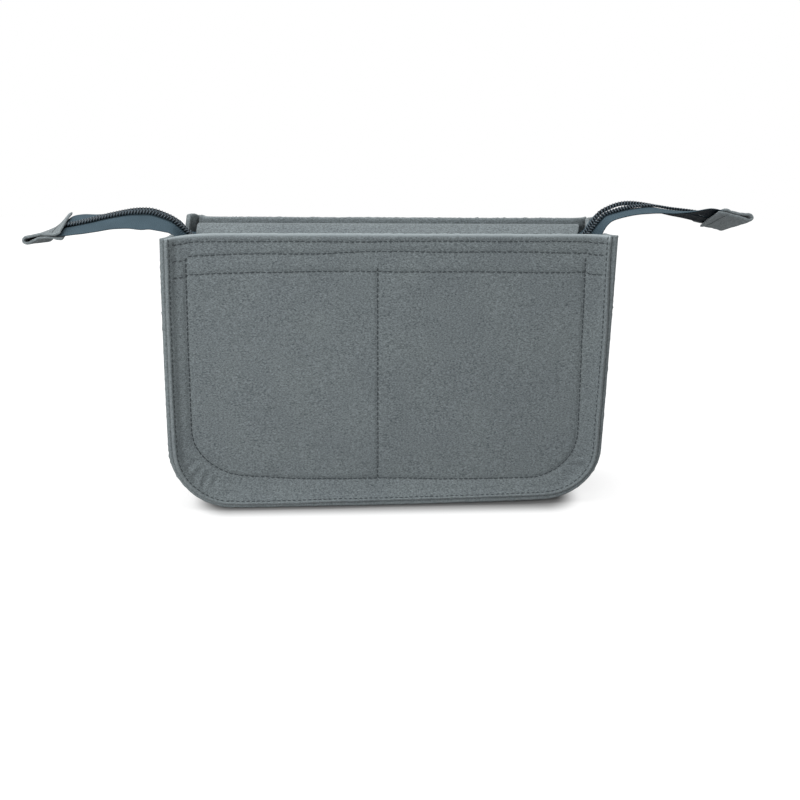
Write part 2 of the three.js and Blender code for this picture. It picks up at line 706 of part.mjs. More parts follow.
for (const [side, sign, seams] of sides) {
  add(`${side}_panel`, panel(sign), felt);
  add(`${side}_pocket`, pocket(sign, seams), felt);
  add(`${side}_zip_flap`, flap(sign), felt);
  add(`${side}_tape`, mainTape(sign), tapeCloth);
  const rowStart = -(pivotX - COIL_SLIT / 2);
  const rowTeeth = Math.floor((2 * pivotX - COIL_SLIT) / COIL_PITCH);
  const rowFrame = (x) => ({ ...tapeFrame(x), spread: rowSpread(x) });
  add(`${side}_coil`, coilRow(rowFrame, rowStart, rowTeeth, sign), nylon);
  add(`${side}_edge_seam`, edgeSeam(sign), thread);
  add(`${side}_pocket_seam`, pocketSeam(sign), thread);
  RIM_SEAMS.forEach((drop, i) => {
    const z = BAG_HEIGHT - drop;
    const x = half - flatStart - 1;
    const line = panelLine(sign, [-x, z], [x, z], V(0, 0, 1));
    add(`${side}_rim_seam_${['top', 'middle', 'low'][i]}`, line, thread);
  });
  add(`${side}_zip_seam`, flapSeam(sign), thread);
}

const dividerTop = BAG_HEIGHT - RIM_SEAMS[2] - THREAD - FIT;
const dividerLow = pocketBase + POCKET_SEAM_MARGIN + THREAD + FIT;
const divider = panelLine(-1, [DIVIDER_X, dividerLow], [DIVIDER_X, dividerTop], V(1, 0, 0));
add('front_divider_seam', divider, thread);
add('gusset', gusset(), felt);
add('slider_body', sliderBody(), gilt);
add('slider_crown', crown(), gilt);
add('pull_tab', pull(), gilt);

const ends = [['left', -1, LEFT_TAIL, LEFT_LEAN_ANGLE], ['right', 1, RIGHT_TAIL, RIGHT_LEAN_ANGLE]];
for (const [end, way, points, angles] of ends) {
  const path = tailPath(way, points, angles);
  for (const [side, sign] of sides) {
    const teeth = Math.floor((path.length - COIL_SLIT / 2 - 1) / COIL_PITCH);
    add(`${end}_tail_${side}_tape`, tailTape(path, sign), tapeCloth);
    add(`${end}_tail_${side}_coil`, coilRow(path.frame, COIL_SLIT / 2, teeth, sign), nylon);
  }
  add(`${end}_end_tab`, endTab(path), felt);
  add(`${end}_tab_seam`, tabSeam(path), thread);
}

export default group;
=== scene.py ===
import math

import bmesh
import bpy
import numpy as np
from mathutils import Matrix, Vector


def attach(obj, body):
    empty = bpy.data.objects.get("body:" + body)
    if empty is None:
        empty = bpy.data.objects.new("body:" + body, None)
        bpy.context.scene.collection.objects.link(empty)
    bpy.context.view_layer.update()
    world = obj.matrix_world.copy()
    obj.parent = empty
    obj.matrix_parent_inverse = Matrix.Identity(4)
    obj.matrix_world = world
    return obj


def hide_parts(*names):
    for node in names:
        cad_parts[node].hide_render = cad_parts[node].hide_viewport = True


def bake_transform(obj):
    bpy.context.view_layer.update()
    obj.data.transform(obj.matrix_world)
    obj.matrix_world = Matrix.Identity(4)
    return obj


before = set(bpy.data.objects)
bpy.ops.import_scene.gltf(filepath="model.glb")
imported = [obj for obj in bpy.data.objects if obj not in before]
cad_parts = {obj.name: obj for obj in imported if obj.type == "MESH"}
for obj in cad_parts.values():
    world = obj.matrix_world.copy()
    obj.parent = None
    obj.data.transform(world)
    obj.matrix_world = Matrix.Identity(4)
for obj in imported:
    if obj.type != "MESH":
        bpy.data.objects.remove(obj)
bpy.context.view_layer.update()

RANDOM = np.random.default_rng(11)
MM = 0.001

# Sizes in millimetres, the same as in the part's source
HALF = 115.0
HEIGHT = 148.0
DEPTH = 50.0
CORNER = 30.0
FELT = 2.5
FIT = 0.3
FLANGE = 3.5
FLANGE_ANGLE = math.pi / 4
FLARE_RADIUS = 4.0
WALL_RADIUS = 6.0
POCKET_FELT = 2.0
POCKET_INSET = 9.5
POCKET_RAISE = 2.0
POCKET_CORNER = 30.0
POCKET_SEAM = 3.0
POCKET_BULGE = 7.0
DIVIDER_X = -6.5
FLAP_FELT = 2.0
FLAP_LEG = 18.5
FOLD_RADIUS = 2.5
RIM_REVEAL = 2.2
FLAP_END_GAP = 4.0
FLAP_CUT = 3.5
TAPE_WIDTH = 30.6
TAPE = 0.6
TAPE_DROP = 10.0
COIL_HALF = 2.5
ROW_SPREAD = 1.45
WEDGE_HALF = 0.7
SLIDER_X = 28.0
SLIDER_WALL = 0.6
SLIDER_PLATE = 0.8
CROWN_STRAP = 0.6
CROWN_SPACE = 1.7
PULL_THICKNESS = 1.0
PIVOT_INSET = 2.5
LEFT_RISE, RIGHT_RISE = 2.7, 6.1
LEFT_GRADE, RIGHT_GRADE = 0.54, 0.8
CLIMB = 17.0
TAB_FELT = 1.4
TAB_LENGTH = 19.5
TAB_WIDTH = 37.0
TAB_TUCK = 9.0
TAB_LOOP = 1.6
TAB_SEAM = 5.0
EDGE_SEAM = 1.5
RIM_SEAMS = (3.8, 9.2, 19.4)
FLAP_SEAM = 3.0

# Stops of the tails: place past the box's end, height over the rim, lean of the coil and of both halves
LEFT_TAIL = ((0.3, 4.0, 18, 18, -11), (6.6, 6.2, 24, 24, -12), (13, 6.5, 25, 25, -12),
             (19, 5.9, 19, 19, -12), (28.6, 4.0, 14, 14, -8), (39, 1.4, 11, 12, 5), (46, -0.2, 7, 8, 16),
             (50.3, -0.9, 8, 8, 13), (53.5, -1.8, 5, 5, 7), (57, -3.2, -6, -6, -6), (68, -8.2, -9, -9, -9))
RIGHT_TAIL = ((0.1, 7.6, 17, 2, -14), (6.7, 9.9, 21, 1, -14), (13.4, 10.8, 14, 3, -14),
              (22.4, 10.5, -4, 5, -12), (33.3, 8.8, -8, -2, -14), (43, 7.6, -14, -11, -16),
              (49.8, 6.5, -18, -26, -16), (54, 5.6, -20, -26, -17), (72, 2.2, -17, -17, -17))

# Sizes that follow from these
SIN, COS = math.sin(FLANGE_ANGLE), math.cos(FLANGE_ANGLE)
PANEL_MID = (DEPTH - FELT) / 2
INNER_FACE = PANEL_MID - FELT / 2
LAYERS = FELT + FIT
PANEL_TIP = (LAYERS + FELT / 2) * SIN
EAR = FLANGE * SIN + FLARE_RADIUS * (1 - COS)
FLARE_START = PANEL_TIP + FLANGE * COS
FLAT_START = FLARE_START + FLARE_RADIUS * SIN
ARC_END = FLANGE + FLARE_RADIUS * FLANGE_ANGLE
GUSSET_TIP_S = PANEL_TIP - LAYERS * SIN
GUSSET_TIP_N = EAR - LAYERS * COS
WALL_TURN_S = GUSSET_TIP_S + FLANGE * COS - WALL_RADIUS * SIN
WALL_TURN_N = GUSSET_TIP_N - FLANGE * SIN - WALL_RADIUS * COS
WALL_MID = WALL_TURN_S + WALL_RADIUS
TAPE_Z = HEIGHT - TAPE_DROP
PIVOT_X = HALF - PIVOT_INSET
FLAP_END = HALF - WALL_MID - FELT / 2 - FLAP_END_GAP
CLIMB_START = PIVOT_X - CLIMB
TAPE_HALF = TAPE_WIDTH / 2
POCKET_HALF = HALF - POCKET_INSET
POCKET_TOP = HEIGHT - RIM_REVEAL - FLAP_LEG - 2 * FIT - 0.4
POCKET_BASE = POCKET_INSET + POCKET_RAISE
SEAM_INSET = POCKET_INSET + POCKET_SEAM
SEAM_LOW = POCKET_BASE + POCKET_SEAM
SEAM_TOP = POCKET_TOP + 10.0
SEAM_TURN = POCKET_CORNER - POCKET_SEAM
SLIDER_NARROW = COIL_HALF + FIT + SLIDER_WALL
SLIDER_HALF = COIL_HALF + ROW_SPREAD + FIT + SLIDER_WALL
FLAP_EDGE = SLIDER_HALF + FIT + FLAP_FELT / 4
FLAP_FOOT = HEIGHT - RIM_REVEAL - FLAP_LEG
LEG_MID = INNER_FACE - FIT - FLAP_FELT / 2
FOLD_TOP = HEIGHT - RIM_REVEAL - FLAP_FELT / 2
FLAP_LOW = TAPE_Z + TAPE / 2 + FIT + FLAP_FELT / 2
SLOPE = math.atan2(FOLD_TOP - FLAP_LOW, LEG_MID - FOLD_RADIUS - FLAP_EDGE)
FLAP_STRAIGHT = FOLD_TOP - FOLD_RADIUS - FLAP_FOOT
FLAP_TURN = math.pi / 2 + SLOPE
FLAP_BEND = FLAP_STRAIGHT + FOLD_RADIUS * FLAP_TURN
FLAP_SLANT = (LEG_MID - FOLD_RADIUS - FLAP_EDGE) / math.cos(SLOPE)
FLAP_RUN = FLAP_BEND + FLAP_SLANT - FOLD_RADIUS * math.sin(SLOPE)
COIL_TOP = TAPE / 2 + FIT + 1.7
PLATE_LOW = COIL_TOP + FIT
PLATE_TOP = PLATE_LOW + SLIDER_PLATE
BAR = PLATE_TOP + CROWN_SPACE / 2

# Rows of points beside a cut edge, and the felt's share of its thickness at each
EDGE_ROWS = np.array([0, 0.15, 0.4, 0.8])
EDGE_SHARES = (0.46, 0.7, 0.88, 1.0)
RIM_ROWS = np.array([0, 0.15, 0.4, 0.8, 1.4, 2.2])
RIM_SHARES = (0.36, 0.52, 0.69, 0.84, 0.94, 1.0)

# Roughness of a cut edge, and distances that count as well inside a sheet and as far from any edge
RAGGED = 0.14
INLAND = 9.0
NO_EDGE = 99.0

# The give of the soft felt: how far the faces, the rim and the base have left the straight box
FACE_SINK = 2.1
RIM_NARROW, RIM_SHEAR, RIM_CORNER = 3.6, 0.04, 2.5
BASE_WIDER, BASE_NARROWER = 1.0, 2.2
BASE_TWIST, BASE_FOOT, BASE_LIFT = 2.0, 1.5, 1.1
CORNER_DIP = 2.3
BACK_RISE = 1.0
EAR_RISE = 2.0
WALL_BOW = 1.2

# Sags of the front's rim seams: how deep in each row, on which side, from where, over what width
RIM_SAGS = (((0.0, 0.8, 0.0), -1, 10.0, 30.0), ((0.0, 0.7, 1.0), -1, 62.0, 35.0),
            ((0.6, 2.0, 1.2), -1, 101.0, 2.5), ((0.3, 0.8, 1.2), 1, 100.0, 2.5))

# Lean of the divider seam, and the height at which it stands in its place
DIVIDER_LEAN, DIVIDER_PIVOT = 0.008, 70

# Dents that the seams pull into the felt: depth, and half width where it isn't the usual one
RIM_DENT, DIVIDER_DENT, FLAP_DENT, TAB_DENT = 0.5, 0.5, 0.4, 0.3
POCKET_DENT = (0.75, 1.1)
EDGE_DENT = (0.35, 0.8)

# Waves of the felt: height and width of the bumps
BROAD_WAVE, FINE_WAVE = (0.28, 55), (0.10, 16)
GUSSET_WAVE, POCKET_WAVE, FLAP_WAVE = (0.22, 26), (0.2, 40), (0.35, 38)
TAPE_WAVE, TAB_WAVE = (0.35, 30), (0.16, 14)
PUCKER, PUCKER_SIZE = 0.8, 5

# A stitch's rings: place along it, share of the thread's radius, height over the felt
STITCH_PLACES = np.array([-0.5, -0.36, -0.13, 0.13, 0.36, 0.5])
STITCH_SHARES = np.array([0.45, 0.85, 1, 1, 0.85, 0.45])
STITCH_HEIGHTS = np.array([-0.55, -0.12, 0.16, 0.16, -0.12, -0.55])
STITCH_PITCH, STITCH_LENGTH = 2.75, 2.5
THREAD_RADIUS, THREAD_SIDES = 0.25, 6

# The wound filament of the coil and the cord inside it
COIL_PITCH, COIL_STEPS = 1.5, 14
FILAMENT, FILAMENT_SIDES = 0.29, 6
LOOP_MID, LOOP_REACH, LOOP_RISE = 1.1, 1.5, 0.46
CORD_UP = TAPE / 2 + 0.44 + LOOP_RISE
CORD_MID, CORD_WIDE, CORD_HIGH, CORD_SIDES = 1.25, 1.12, 0.58, 8
COIL_TUCK = 1.5


def clamp(v):
    return np.clip(v, 0.0, 1.0)


def smooth(v):
    v = clamp(v)
    return v * v * (3 - 2 * v)


def unit(v):
    return v / np.maximum(np.linalg.norm(v, axis=-1, keepdims=True), 1e-9)


def xyz(x, y, z):
    """Points from three coordinates, each a number or an array."""
    return np.stack(np.broadcast_arrays(x, y, z), axis=-1)


def runs(points):
    """Length along a line of points, up to each of them."""
    return np.concatenate([[0], np.cumsum(np.linalg.norm(np.diff(points, axis=0), axis=1))])


def edged(low, high, inner):
    """Places from low to high, close together beside the two cut edges."""
    return np.concatenate([low + EDGE_ROWS, inner, high - EDGE_ROWS[::-1]])


def waves(a, b, seed, form, count=7):
    """A smooth random relief whose bumps have the form's height and about its width."""
    height, size = form
    maker = np.random.default_rng(seed)
    total = 0
    for _ in range(count):
        turn = maker.uniform(0, 2 * math.pi)
        rate = 2 * math.pi / (size * maker.uniform(0.7, 1.6))
        total = total + np.sin(rate * (a * math.cos(turn) + b * math.sin(turn)) + maker.uniform(0, 6.3))
    return height * (total / count ** 0.5 / 1.4)


def spread(start, end, step, marks=()):
    """Places from start to end about step apart, and closer together at the marks."""
    fine = np.linspace(start, end, 3001)
    density = np.ones_like(fine)
    for mark in marks:
        density += 1.6 * np.exp(-((fine - mark) / 1.6) ** 2)
    run = np.concatenate([[0], np.cumsum((density[1:] + density[:-1]) / 2) * abs(end - start) / 3000])
    count = max(2, int(round(run[-1] / step)))
    return np.interp(np.linspace(0, run[-1], count + 1), run, fine)


def inboard(x, z):
    """Distance in from the U-shaped edge."""
    over, under = np.maximum(np.abs(x) - (HALF - CORNER), 0), np.maximum(CORNER - z, 0)
    straight = np.minimum(HALF - np.abs(x), np.where(z < CORNER, z, 999.0))
    return np.where((over > 0) & (under > 0), CORNER - np.hypot(over, under), straight)


def settle(points):
    """The give of soft felt: sunken faces, a narrower back rim, a dipping corner and a base a little askew."""
    p = np.array(points, dtype=float)
    x, y, z = np.moveaxis(p.copy(), -1, 0)
    up = clamp(z / HEIGHT)
    front, back = clamp(-y / 25), clamp(y / 25)
    # Both faces sink inside their edge seams
    sink = FACE_SINK * smooth((inboard(x, z) - 3.5) / 11) * smooth((np.abs(y) - 8) / 10)
    p[..., 1] -= np.sign(y) * sink
    # The rim is drawn to the right towards the back, most at its left corner
    narrow = RIM_NARROW - RIM_SHEAR * x + RIM_CORNER * smooth((-x - 95) / 20)
    p[..., 0] += narrow * np.interp(y, [5.7, 19.0, 24.5], [0, 0.42, 1]) * up ** 2
    # The front's lower part reaches further to the right, and less far to the left
    wide = BASE_WIDER * smooth((x - 20) / 80) - BASE_NARROWER * smooth((-x - 20) / 80) * smooth((z - 8) / 30)
    p[..., 0] += front * (1 - up ** 2) * wide
    # The front's base stands askew, comes forward at the foot and lifts to the right
    p[..., 1] += BASE_TWIST * front * (x / HALF) * (1 - up)
    p[..., 1] -= BASE_FOOT * front * smooth((17 - z) / 15) * smooth((105 - np.abs(x)) / 35)
    p[..., 2] += BASE_LIFT * front * smooth(x / 100) * (1 - up) ** 2
    # The front rim dips at its left corner, the back rim rises, and so does the left wall beside it
    p[..., 2] -= CORNER_DIP * front * np.exp(-((x + 118) / 17) ** 2) * up ** 8
    p[..., 2] += BACK_RISE * back * up ** 4
    ear = smooth((-x - 106) / 4) * np.interp(y, [14, 17, 21, 26], [0, 1, 1, 0])
    p[..., 2] += EAR_RISE * ear * up ** 8
    return p


def link(name, data):
    """A new object of the scene."""
    obj = bpy.data.objects.new(name, data)
    bpy.context.scene.collection.objects.link(obj)
    return obj


def mesh_object(name, verts, quads):
    """A smooth mesh object from points in millimetres and faces of four points."""
    verts = np.asarray(verts, dtype=float).reshape(-1, 3) * MM
    quads = np.asarray(quads, dtype=np.int64)
    mesh = bpy.data.meshes.new(name)
    mesh.vertices.add(len(verts))
    mesh.vertices.foreach_set("co", verts.ravel())
    mesh.loops.add(quads.size)
    mesh.loops.foreach_set("vertex_index", quads.ravel())
    mesh.polygons.add(len(quads))
    mesh.polygons.foreach_set("loop_start", np.arange(0, quads.size, 4))
    mesh.polygons.foreach_set("use_smooth", np.ones(len(quads), dtype=bool))
    mesh.update(calc_edges=True)
    mesh.validate()
    return link(name, mesh)


def grid_quads(rows, columns):
    r, c = np.meshgrid(np.arange(rows - 1), np.arange(columns - 1), indexing="ij")
    a = (r * columns + c).ravel()
    return np.stack([a, a + 1, a + columns + 1, a + columns], axis=1)


def shell(outer, inner, quads):
    """Points and faces of a closed sheet from its two matching faces."""
    outer, inner = outer.reshape(-1, 3), inner.reshape(-1, 3)
    count = len(outer)
    edges = np.concatenate([quads[:, [k, (k + 1) % 4]] for k in range(4)])
    key = edges[:, 0] * count + edges[:, 1]
    back = edges[:, 1] * count + edges[:, 0]
    rim = edges[~np.isin(key, back)]
    sides = np.stack([rim[:, 1], rim[:, 0], rim[:, 0] + count, rim[:, 1] + count], axis=1)
    points = np.concatenate([outer, inner])
    faces = np.concatenate([quads, quads[:, ::-1] + count, sides])
    a, b, c, d = (points[faces[:, k]] for k in range(4))
    volume = np.sum(np.cross(b - a, c - a) * a) + np.sum(np.cross(c - a, d - a) * a)
    return points, faces if volume > 0 else faces[:, ::-1]


def felt_sheet(outer, inner, quads):
    """A closed felt sheet from its two faces, with the give of the felt."""
    points, faces = shell(outer, inner, quads)
    return settle(points), faces


def edge_soft(distance):
    """How thick felt is near a cut edge, as a share of its thickness."""
    return np.interp(distance, EDGE_ROWS, EDGE_SHARES)


def rim_soft(distance):
    """The same at the rim, where the felt is worn round."""
    return np.interp(distance, RIM_ROWS, RIM_SHARES)


class EdgeU:
    """The U-shaped edge of the box, from the left rim round the bottom to the right rim."""

    def __init__(self, step, marks_z=(), marks_x=()):
        side = np.concatenate([HEIGHT - RIM_ROWS[:-1], spread(HEIGHT - RIM_ROWS[-1], CORNER, step, marks_z)])
        inner = HALF - CORNER
        turn = np.linspace(0, math.pi / 2, 2 * int(round(CORNER * math.pi / 4 / step)) + 1)[1:-1]
        parts = (
            (-inner, side, -1.0, 0.0),
            (-inner, CORNER, -np.cos(turn), -np.sin(turn)),
            (spread(-inner, inner, step, marks_x), CORNER, 0.0, -1.0),
            (inner, CORNER, np.sin(turn), -np.cos(turn)),
            (inner, side[::-1], 1.0, 0.0),
        )
        whole = zip(*(np.broadcast_arrays(*p) for p in parts))
        self.x, self.z, self.ux, self.uz = (np.concatenate(p) for p in whole)
        self.count = len(self.x)
        self.mid = len(side) + len(turn) // 2

    def at(self, s):
        """Points of the U at a distance s in from the edge, as x and z."""
        return self.x + self.ux * (CORNER - s), self.z + self.uz * (CORNER - s)

    def corner(self):
        """1 in the middle of a lower corner, 0 on the straights."""
        return np.abs(self.ux * self.uz) * 2


def panel_section(q):
    """Inboard distance, outward height and normal of a panel at a run q from its tip."""
    q = np.asarray(q, dtype=float)
    a = FLANGE_ANGLE - (np.clip(q, FLANGE, ARC_END) - FLANGE) / FLARE_RADIUS
    s = PANEL_TIP + np.minimum(q, FLANGE) * COS + FLARE_RADIUS * (SIN - np.sin(a)) + np.maximum(q - ARC_END, 0)
    n = FLARE_RADIUS * (1 - np.cos(a)) + np.maximum(FLANGE - q, 0) * SIN
    return s, n, np.sin(a), np.cos(a)


def press(distance, depth, width=0.9):
    """The dent that a row of stitches pulls into felt."""
    return depth * np.exp(-(distance / width) ** 2)


def rim_seam_height(x, row, front):
    """The height of a rim seam: in front it sags to the left and steps down past the pocket's seam."""
    drift = 0.25 * np.sin(x / 31.0 + row) + 0.15 * np.sin(x / 11.0 + 2 * row)
    if front:
        for depths, way, start, width in RIM_SAGS:
            drift = drift - depths[row] * smooth((way * x - start) / width)
    return HEIGHT - RIM_SEAMS[row] + drift


def pocket_seam(x, z):
    """Distance inside the pocket's seam: a wide U, nearer the middle on the right, sagging to the right."""
    side = HALF - np.abs(x) - np.where(x < 0, 12.3, 13.2 + 0.025 * (z - 42))
    base = z - SEAM_LOW + 0.012 * x + 0.9 * smooth((x + 5) / 45) - 1.9 * smooth((-x - 42) / 40)
    corner = SEAM_TURN - np.hypot(SEAM_TURN - side, SEAM_TURN - base)
    return np.where((side < SEAM_TURN) & (base < SEAM_TURN), corner, np.minimum(side, base))


def pocket_seam_line():
    """Points of that seam from its left top round to its right top."""
    reach = HALF - SEAM_INSET
    inner = reach - SEAM_TURN
    turn = np.linspace(0, math.pi / 2, 30)
    side = np.linspace(SEAM_TOP, SEAM_LOW + SEAM_TURN, 60)[:-1]
    parts = (
        (-reach, side),
        (-inner - SEAM_TURN * np.cos(turn), SEAM_LOW + SEAM_TURN * (1 - np.sin(turn))),
        (np.linspace(-inner, inner, 90)[1:-1], SEAM_LOW),
        (inner + SEAM_TURN * np.sin(turn), SEAM_LOW + SEAM_TURN * (1 - np.cos(turn))),
        (reach, side[::-1]),
    )
    x, z = np.concatenate([np.stack(np.broadcast_arrays(*p)) for p in parts], axis=1)
    for _ in range(4):
        off = pocket_seam(x, z)
        gx = (pocket_seam(x + 0.1, z) - off) / 0.1
        gz = (pocket_seam(x, z + 0.1) - off) / 0.1
        x, z = x - off * gx, z - off * gz
    return x, z


def divider(z):
    """Place of the leaning divider seam at a height."""
    return DIVIDER_X - DIVIDER_LEAN * (z - DIVIDER_PIVOT)


def panel_relief(x, z, front, q=NO_EDGE, puckers=0.0):
    """Outward relief of a panel's face in millimetres."""
    relief = waves(x, z, 3 if front else 5, BROAD_WAVE) + waves(x, z, 8, FINE_WAVE)
    for row in range(3):
        reach = smooth((HALF - 4.5 - np.abs(x)) / 3)
        relief = relief - press(z - rim_seam_height(x, row, front), RIM_DENT) * reach
    relief = relief - press(pocket_seam(x, z), *POCKET_DENT) * smooth((SEAM_TOP - z) / 3)
    if front:
        below = smooth((HEIGHT - RIM_SEAMS[2] + 3 - z) / 3) * smooth((z - 9.5) / 3)
        relief = relief - press(x - divider(z), DIVIDER_DENT) * below
    relief = relief - press(q - EDGE_SEAM, *EDGE_DENT)
    return relief + puckers


class Panel:
    """Front or back panel: a ring that follows the edge, and a field inside it."""

    STEP = 1.25
    RING_END = 20.5
    RING_ROWS = (0, 0.15, 0.4, 0.8, 1.3, 1.8, 2.3, 2.8, 3.3, 3.9, 4.6, 5.3, 6.0, ARC_END)

    def __init__(self, sign):
        self.sign, self.front = sign, sign < 0
        marks = [HEIGHT - d for d in RIM_SEAMS]
        self.u = u = EdgeU(self.STEP, marks, [DIVIDER_X] if self.front else ())
        # On the right the seam lies further in and the edge is trimmed; the lower edge is trimmed too
        right = smooth((u.x + u.ux * CORNER - 60) / 40)
        self.edge = 0.5 * right
        self.low = u.uz ** 2
        self.trim = 1.5 * right * smooth((u.z - 95) / 45)
        self.trim = self.trim + self.low * (0.3 + 0.8 * smooth((u.x + 60) / 70))
        last = ARC_END + self.RING_END - FLAT_START
        self.q = np.concatenate([self.RING_ROWS, spread(ARC_END, last, 0.75)[1:]])

    def puckers(self, s):
        """Small creases across the band between the pocket's seam and the edge at the lower corners."""
        along = np.arange(self.u.count) * self.STEP
        band = smooth((s - 4) / 4) * smooth((SEAM_INSET + 4 - s) / 4)
        crease = 0.5 * np.sin(along / 1.4 + 0.35 * s) + waves(along, s * 0.6, 21, (0.5, PUCKER_SIZE))
        return PUCKER * crease * smooth(self.u.corner() * 1.3) * band

    def faces_at(self, q):
        """Outer and inner points of the ring at the runs q."""
        u = self.u
        outer, inner = [], []
        jitter = np.random.default_rng(5 if self.front else 6)
        for one in q:
            s, n, ns, nn = panel_section(one + self.trim * clamp(1 - one / 5))
            x, z = u.at(s)
            normal = xyz(-u.ux * ns, self.sign * nn, -u.uz * ns)
            gape = 0.6 * clamp(1 - one / 2.5) * self.low
            mid = xyz(x, self.sign * (PANEL_MID + n), z) + normal * gape[:, None]
            thick = FELT * edge_soft(one) * rim_soft(HEIGHT - z)
            relief = panel_relief(x, z, self.front, one - self.edge, self.puckers(s))
            if np.all(one == 0):
                mid = mid - xyz(u.ux, 0, u.uz) * (RAGGED * jitter.standard_normal(u.count))[:, None]
            outer.append(mid + normal * (thick / 2 + relief)[:, None])
            inner.append(mid - normal * (thick / 2 - 0.4 * relief)[:, None])
        return np.array(outer), np.array(inner)

    def field(self):
        """Plan points inside the ring, as a grid from the rim down."""
        edge = np.stack(self.u.at(self.RING_END), axis=1)
        m = self.u.mid
        left, right = edge[: m + 1], edge[::-1][: m + 1]
        bottom = edge[m: self.u.count - m]
        share = (bottom[:, 0] - bottom[0, 0]) / (bottom[-1, 0] - bottom[0, 0])
        top = left[0] + (right[0] - left[0]) * share[:, None]
        fall = runs(left)
        v = (fall / fall[-1])[:, None, None]
        w = share[None, :, None]
        patch = (1 - v) * top[None] + v * bottom[None] + (1 - w) * left[:, None] + w * right[:, None]
        patch = patch - ((1 - v) * (1 - w) * left[0] + (1 - v) * w * right[0])
        return patch - (v * (1 - w) * bottom[0] + v * w * bottom[-1])

    def build(self):
        """Points and faces of the whole panel."""
        ring_out, ring_in = self.faces_at(self.q)
        rows, columns = len(self.q), self.u.count
        x, z = np.moveaxis(self.field(), -1, 0)
        deep, wide = x.shape
        relief = panel_relief(x, z, self.front)
        thick = FELT * rim_soft(HEIGHT - z)
        ragged = 0.1 * RANDOM.standard_normal(wide)
        outer = xyz(x, self.sign * (PANEL_MID + thick / 2 + relief), z)
        inner = xyz(x, self.sign * (PANEL_MID - thick / 2 + 0.4 * relief), z)
        outer[0, :, 2] += ragged
        inner[0, :, 2] += ragged
        index = np.full((deep, wide), -1, dtype=np.int64)
        start = (rows - 1) * columns
        index[:, 0] = start + np.arange(deep)
        index[:, -1] = start + columns - 1 - np.arange(deep)
        index[-1, :] = start + self.u.mid + np.arange(wide)
        fresh = index < 0
        index[fresh] = rows * columns + np.arange(fresh.sum())
        outer = np.concatenate([ring_out.reshape(-1, 3), outer[fresh]])
        inner = np.concatenate([ring_in.reshape(-1, 3), inner[fresh]])
        field = index.ravel()[grid_quads(deep, wide)]
        return felt_sheet(outer, inner, np.concatenate([grid_quads(rows, columns), field[:, ::-1]]))

    def on_face(self, x, z):
        """Points and normals on the face, in the bottom of the dents that seams make there."""
        run = np.linspace(0, ARC_END, 60)
        inset = HALF - np.abs(x)
        near = np.interp(inset, panel_section(run)[0], run)
        q = np.where(inset < FLAT_START, near, ARC_END + inset - FLAT_START)
        _, n, ns, nn = panel_section(q)
        relief = panel_relief(x, z, self.front) + 0.25
        normal = xyz(-np.sign(x) * ns, self.sign * nn, 0)
        mid = xyz(x, self.sign * (PANEL_MID + n), z)
        return mid + normal * (FELT / 2 + relief)[:, None], normal

    def on_ring(self, q):
        """Points and normals on the ring at a run q from the tip."""
        _, _, ns, nn = panel_section(q)
        normal = xyz(-self.u.ux * ns, self.sign * nn, -self.u.uz * ns)
        return self.faces_at([q])[0][0], normal


def tube_faces(rings, sides):
    """Faces of a closed tube of rings with an even number of sides."""
    r, c = np.meshgrid(np.arange(rings - 1), np.arange(sides), indexing="ij")
    one, two = (r * sides + c).ravel(), (r * sides + (c + 1) % sides).ravel()
    quads = np.stack([one, two, two + sides, one + sides], axis=1)
    end = (rings - 1) * sides
    caps = []
    for k in range(0, sides - 2, 2):
        caps += [[0, k + 3, k + 2, k + 1], [end, end + k + 1, end + k + 2, end + k + 3]]
    return np.concatenate([quads, caps])


def stitch_row(points, normals, seed, length=STITCH_LENGTH):
    """Separate stitches along a line on a surface, each a short thread whose ends dive in."""
    maker = np.random.default_rng(seed)
    run = runs(points)
    count = int(run[-1] / STITCH_PITCH)
    middle = (np.arange(count) + 0.5) * run[-1] / count + maker.uniform(-0.12, 0.12, count)
    long = length * maker.uniform(0.9, 1.08, count)
    place = middle[:, None] + long[:, None] * STITCH_PLACES
    line, up = (xyz(*(np.interp(place, run, row) for row in a.T)) for a in (points, normals))
    up = unit(up)
    side = unit(np.cross(unit(np.gradient(line, axis=1)), up))
    line = line + up * STITCH_HEIGHTS[:, None] + side * maker.uniform(-0.1, 0.1, count)[:, None, None]
    angle = (np.arange(THREAD_SIDES) * 2 * math.pi / THREAD_SIDES)[:, None]
    ring = side[:, :, None] * np.cos(angle) + up[:, :, None] * np.sin(angle)
    verts = line[:, :, None] + ring * (THREAD_RADIUS * STITCH_SHARES)[:, None, None]
    rings = len(STITCH_PLACES)
    faces = tube_faces(rings, THREAD_SIDES) + (np.arange(count) * rings * THREAD_SIDES)[:, None, None]
    return verts.reshape(-1, 3), faces.reshape(-1, 4)[:, ::-1]


def joined(parts):
    """Several lists of points and faces as one."""
    verts, faces, start = [], [], 0
    for v, f in parts:
        verts.append(v)
        faces.append(f + start)
        start += len(v)
    return np.concatenate(verts), np.concatenate(faces)


def panel_thread(panel):
    """All the stitches of one panel."""
    parts = [stitch_row(*panel.on_ring(EDGE_SEAM + panel.edge), 31),
             stitch_row(*panel.on_face(*pocket_seam_line()), 32, length=2.65)]
    left, right = (110.0, 109.0) if panel.front else (106.0, 106.0)
    x = np.linspace(-left, right, 400)
    for row in range(3):
        parts.append(stitch_row(*panel.on_face(x, rim_seam_height(x, row, panel.front)), 33 + row))
    if panel.front:
        z = np.linspace(HEIGHT - RIM_SEAMS[2] + 2.5, SEAM_LOW, 200)
        parts.append(stitch_row(*panel.on_face(divider(z), z), 37))
    verts, faces = joined(parts)
    return settle(verts), faces


